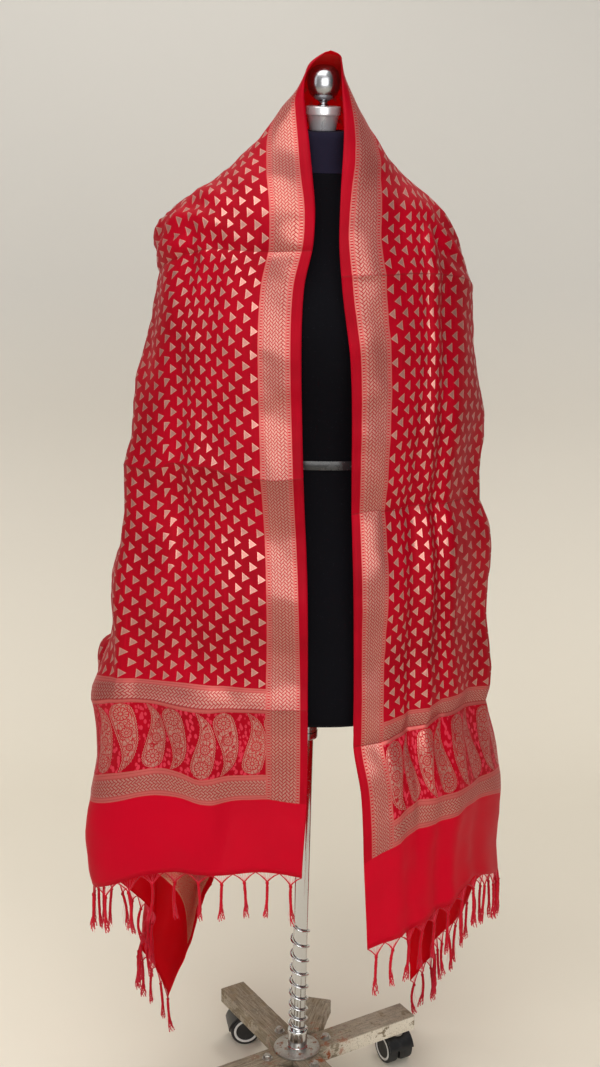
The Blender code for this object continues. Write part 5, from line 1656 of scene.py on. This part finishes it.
def worn_steel():
    """Zinc-plated steel dulled by handling, with rust in places."""
    finish = Finish("worn_steel")
    place = finish.place()
    broad = finish.noise(place, 90.0, 5.0, 0.65)
    fine = finish.noise(place, 700.0, 3.0)
    rust = (broad + fine * 0.25).rising(0.66, 0.76)
    plate = finish.blend(fine, shade(128, 124, 116), shade(196, 193, 186))
    finish.set(
        Base_Color=finish.blend(rust, plate, finish.blend(fine, shade(84, 44, 22), shade(150, 82, 38))),
        Metallic=0.9 - rust * 0.85,
        Roughness=0.36 + rust * 0.45 + broad * 0.1,
        Normal=finish.relief(rust * 0.6 + fine * 0.4, 0.0003, 0.5),
    )
    return finish


def weathered_wood():
    """Old painted wood: grey-brown grain, flaking white paint on the sides and rusty stains."""
    finish = Finish("weathered_wood", Specular_IOR_Level=0.3)
    place = finish.place()
    x, y, z = finish.parts(place)
    x0, y0 = x - CENTRE.x, y - CENTRE.y
    # Distances along and across whichever bar the point is on.
    edge = LEG_WIDTH / 2 + 0.0005
    c, s = math.cos(LEG_TURN), math.sin(LEG_TURN)
    first, second = x0 * c + y0 * s, y0 * c - x0 * s
    on_beam = abs(second) < edge
    on_leg = (abs(first) < edge) * (1 - on_beam)
    slanted = 1 - on_beam - on_leg
    third, fourth = (first + second) * math.sqrt(0.5), (second - first) * math.sqrt(0.5)
    along = first * on_beam + second * on_leg + third * slanted
    across = second * on_beam + first * on_leg + fourth * slanted
    lie = finish.vector(along * 9, across * 120, z * 120)
    grain = finish.noise(lie, 3.2, 5.0, 0.62)
    streaks = finish.noise(finish.vector(along * 25, across * 420, z * 420), 2.4, 3.0)
    broad = finish.noise(place, 26.0, 4.0)
    blotch = finish.noise(place, 58.0, 5.0, 0.68)
    fine = finish.noise(place, 520.0, 3.0)
    wood = finish.blend(grain.rising(0.30, 0.72), shade(96, 84, 68), shade(166, 154, 132))
    wood = finish.blend(streaks.rising(0.60, 0.72) * 0.6, wood, shade(66, 50, 38))
    wood = finish.blend(broad.rising(0.48, 0.70) * 0.6, wood, shade(124, 104, 72))
    wood = finish.blend((blotch * 0.6 + fine * 0.4).rising(0.52, 0.60) * 0.55, wood, shade(72, 62, 48))
    # White paint clings to the upright sides, in flakes, most of all on the right-hand bar.
    side = (LEG_TOP - 0.0009 - z).rising(0.0, 0.0010)
    right = x0.rising(0.02, 0.10) * (1 - y0.rising(0.10, 0.16))
    flakes = (blotch + right * 0.12).rising(0.50, 0.545)
    flakes = flakes * (0.25 + side * 0.75) * (0.35 + right * 0.65)
    paint = finish.blend(broad, shade(196, 184, 164), shade(220, 214, 200))
    paint = finish.blend(fine.rising(0.58, 0.66) * 0.7, paint, shade(120, 104, 84))
    colour = finish.blend(flakes, wood, paint)
    away = (x0 * x0 + y0 * y0).root()
    # Rust has run from the bolts, most of all to the right, and from one spot on the right-hand bar.
    rusty = (blotch + fine * 0.12).rising(0.60, 0.68) * (1 - away.rising(0.05, 0.105))
    rusty = rusty * (0.35 + 0.65 * x0.rising(0.0, 0.03))
    colour = finish.blend(rusty, colour, finish.blend(fine, shade(112, 52, 24), shade(168, 84, 36)))
    tear = (x0 - RUST_SPOT[0]) ** 2 + (y0 - RUST_SPOT[1]) ** 2
    drip = (0.000085 - tear + (fine - 0.5) * 0.00004).rising(0.0, 0.00002)
    colour = finish.blend(drip * 0.85, colour, shade(178, 74, 26))
    # Darker and browner towards the middle of the stand, round the hub.
    dirt = away.rising(0.075, 0.02) * 0.35
    colour = finish.blend(dirt, colour, shade(78, 66, 54))
    finish.set(
        Base_Color=colour,
        Roughness=0.86 - flakes * 0.18 - drip * 0.2,
        Normal=finish.relief(grain * 0.4 + streaks * 0.3 + flakes * 0.6 + fine * 0.15, 0.0007, 0.75),
    )
    return finish


# ---------------------------------------------------------------- the room

FLOOR_FRONT = -3.2
WALL_AT = 1.75
WALL_TOP = 3.8
BEND = 0.7  # the radius between floor and wall
ROOM_HALF = 4.0


def backdrop():
    """A pale floor that curves up into a plain wall."""
    finish = Finish("studio_paper", Specular_IOR_Level=0.2)
    place = finish.place()
    _, y, z = finish.parts(place)
    # Painted shade: soft, mostly upright shading of the paper's folds, mixed into the wall's colour.
    shaded_fold = finish.noise(finish.stretched(place, 0.6, 0.6, 0.35), 1.6, 2.0)
    tooth = finish.noise(place, 60.0, 3.0)
    wall = finish.blend(shaded_fold * 0.5, shade(195, 193, 188), shade(204, 202, 196))
    colour = finish.blend((1.0 - z).rising(0.0, 1.0), wall, shade(221, 214, 199))
    relief = finish.relief(tooth, 0.0003, 0.2)
    finish.set(Base_Color=colour, Roughness=0.85 + tooth * 0.1, Normal=relief)
    line = [(FLOOR_FRONT, 0.0), (WALL_AT - BEND, 0.0)]
    for turn in np.linspace(0, math.pi / 2, 25)[1:]:
        line.append((WALL_AT - BEND + BEND * math.sin(turn), BEND - BEND * math.cos(turn)))
    line += [(WALL_AT, WALL_TOP)]
    points = [(x, y, z) for x in (-ROOM_HALF, ROOM_HALF) for y, z in line]
    count = len(line)
    faces = [(k, count + k, count + k + 1, k + 1) for k in range(count - 1)]
    paper = new_mesh("paper_sweep", points, faces, [finish])
    paper.data.transform(Matrix.Translation(CENTRE))


# ---------------------------------------------------------------- putting it together


def carried(made, body, slot, *nodes):
    """A piece rides on its body and stands for its solids. The slot is not used."""
    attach(made, body)
    if nodes:
        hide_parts(*nodes)
    return made


def build_form():
    chrome = polished("chrome", shade(164, 165, 169), 0.15, 0.17)
    cap_chrome = polished("cap_chrome", shade(200, 201, 204), 0.15, 0.22, 0.62)
    socket_black = moulded("socket_black", shade(22, 22, 24), 0.32)
    move = leaning()
    torso, neck, tape = dress_form(
        jersey_cover("jersey", shade(6, 6, 9), shade(11, 11, 16)),
        jersey_cover("collar_cloth", shade(22, 20, 34), shade(32, 29, 46)),
        moulded("waist_tape_finish", shade(36, 38, 40), 0.22),
    )
    carried(torso, "form", "form_cover", "form_torso")
    carried(neck, "form", "neck_cover", "form_neck")
    carried(tape, "form", "waist_tape", "form_waist_tape")
    carried(lathe("cap", CAP_PROFILE, cap_chrome, move, 96), "form", "chrome", "neck_cap")
    carried(lathe("egg_finial", FINIAL_PROFILE, chrome, move, 96, 60), "form", "chrome", "finial")
    carried(lathe("socket", SOCKET_PROFILE, socket_black, move, 72), "form", "socket_plastic", "pole_socket")
    carried(lathe("clamp", CLAMP_PROFILE, chrome, move, 72), "form", "chrome", "pole_clamp")
    return torso


def build_stand():
    worn_chrome = polished("worn_chrome", shade(206, 207, 208), 1.0)
    steel = worn_steel()
    wood = weathered_wood()
    hood_black = moulded("castor_black", shade(20, 20, 22), 0.30)
    tyre_black = moulded("tyre_black", shade(30, 30, 31), 0.55)
    ring_white = moulded("ring_white", shade(214, 214, 212), 0.40)
    move = leaning()
    carried(lathe("chrome_pole", POLE_PROFILE, worn_chrome, move, 96), "base", "chrome", "pole")
    carried(spring(worn_chrome), "base", "chrome", "spring")
    carried(lathe("sleeve", SLEEVE_PROFILE, worn_chrome, move, 72), "base", "chrome", "hub_sleeve")
    flat = Matrix.Translation(CENTRE)
    carried(lathe("hub_disc", PLATE_PROFILE, steel, flat, 72), "base", "steel", "hub_plate")
    for node, made in legs(wood).items():
        carried(made, "base", "leg_wood", node)
    for number in range(1, 5):
        carried(bolt(number, steel), "base", "steel", f"bolt_{number}")
        hood = castor_hood(number, hood_black, steel)
        carried(hood, f"castor_{number}", "castor_plastic", f"castor_{number}_housing")
        wheels = castor_wheels(number, tyre_black, ring_white)
        carried(wheels, f"wheels_{number}", "wheel_plastic", f"castor_{number}_wheels")


def build_stole(torso):
    halves = {-1: Half(-1, LEFT_LEVELS, LEFT_REAR), 1: Half(1, RIGHT_LEVELS, RIGHT_REAR)}
    fold_walls(halves)
    stole, across, grid, normal = cloth_sheet(halves, stole_face(), stole_reverse())
    carried(stole, "form", "stole_cloth", "stole_hood", "stole_left", "stole_right")
    silk = silk_yarn()
    left = fringe("left_fringe", grid[0], normal[0], across, silk, 11)
    right = fringe("right_fringe", grid[-1], normal[-1], across, silk, 23)
    carried(left, "form", "stole_fringe", "fringe_left")
    carried(right, "form", "stole_fringe", "fringe_right")


add_camera()
add_lights()
backdrop()
build_stole(build_form())
build_stand()
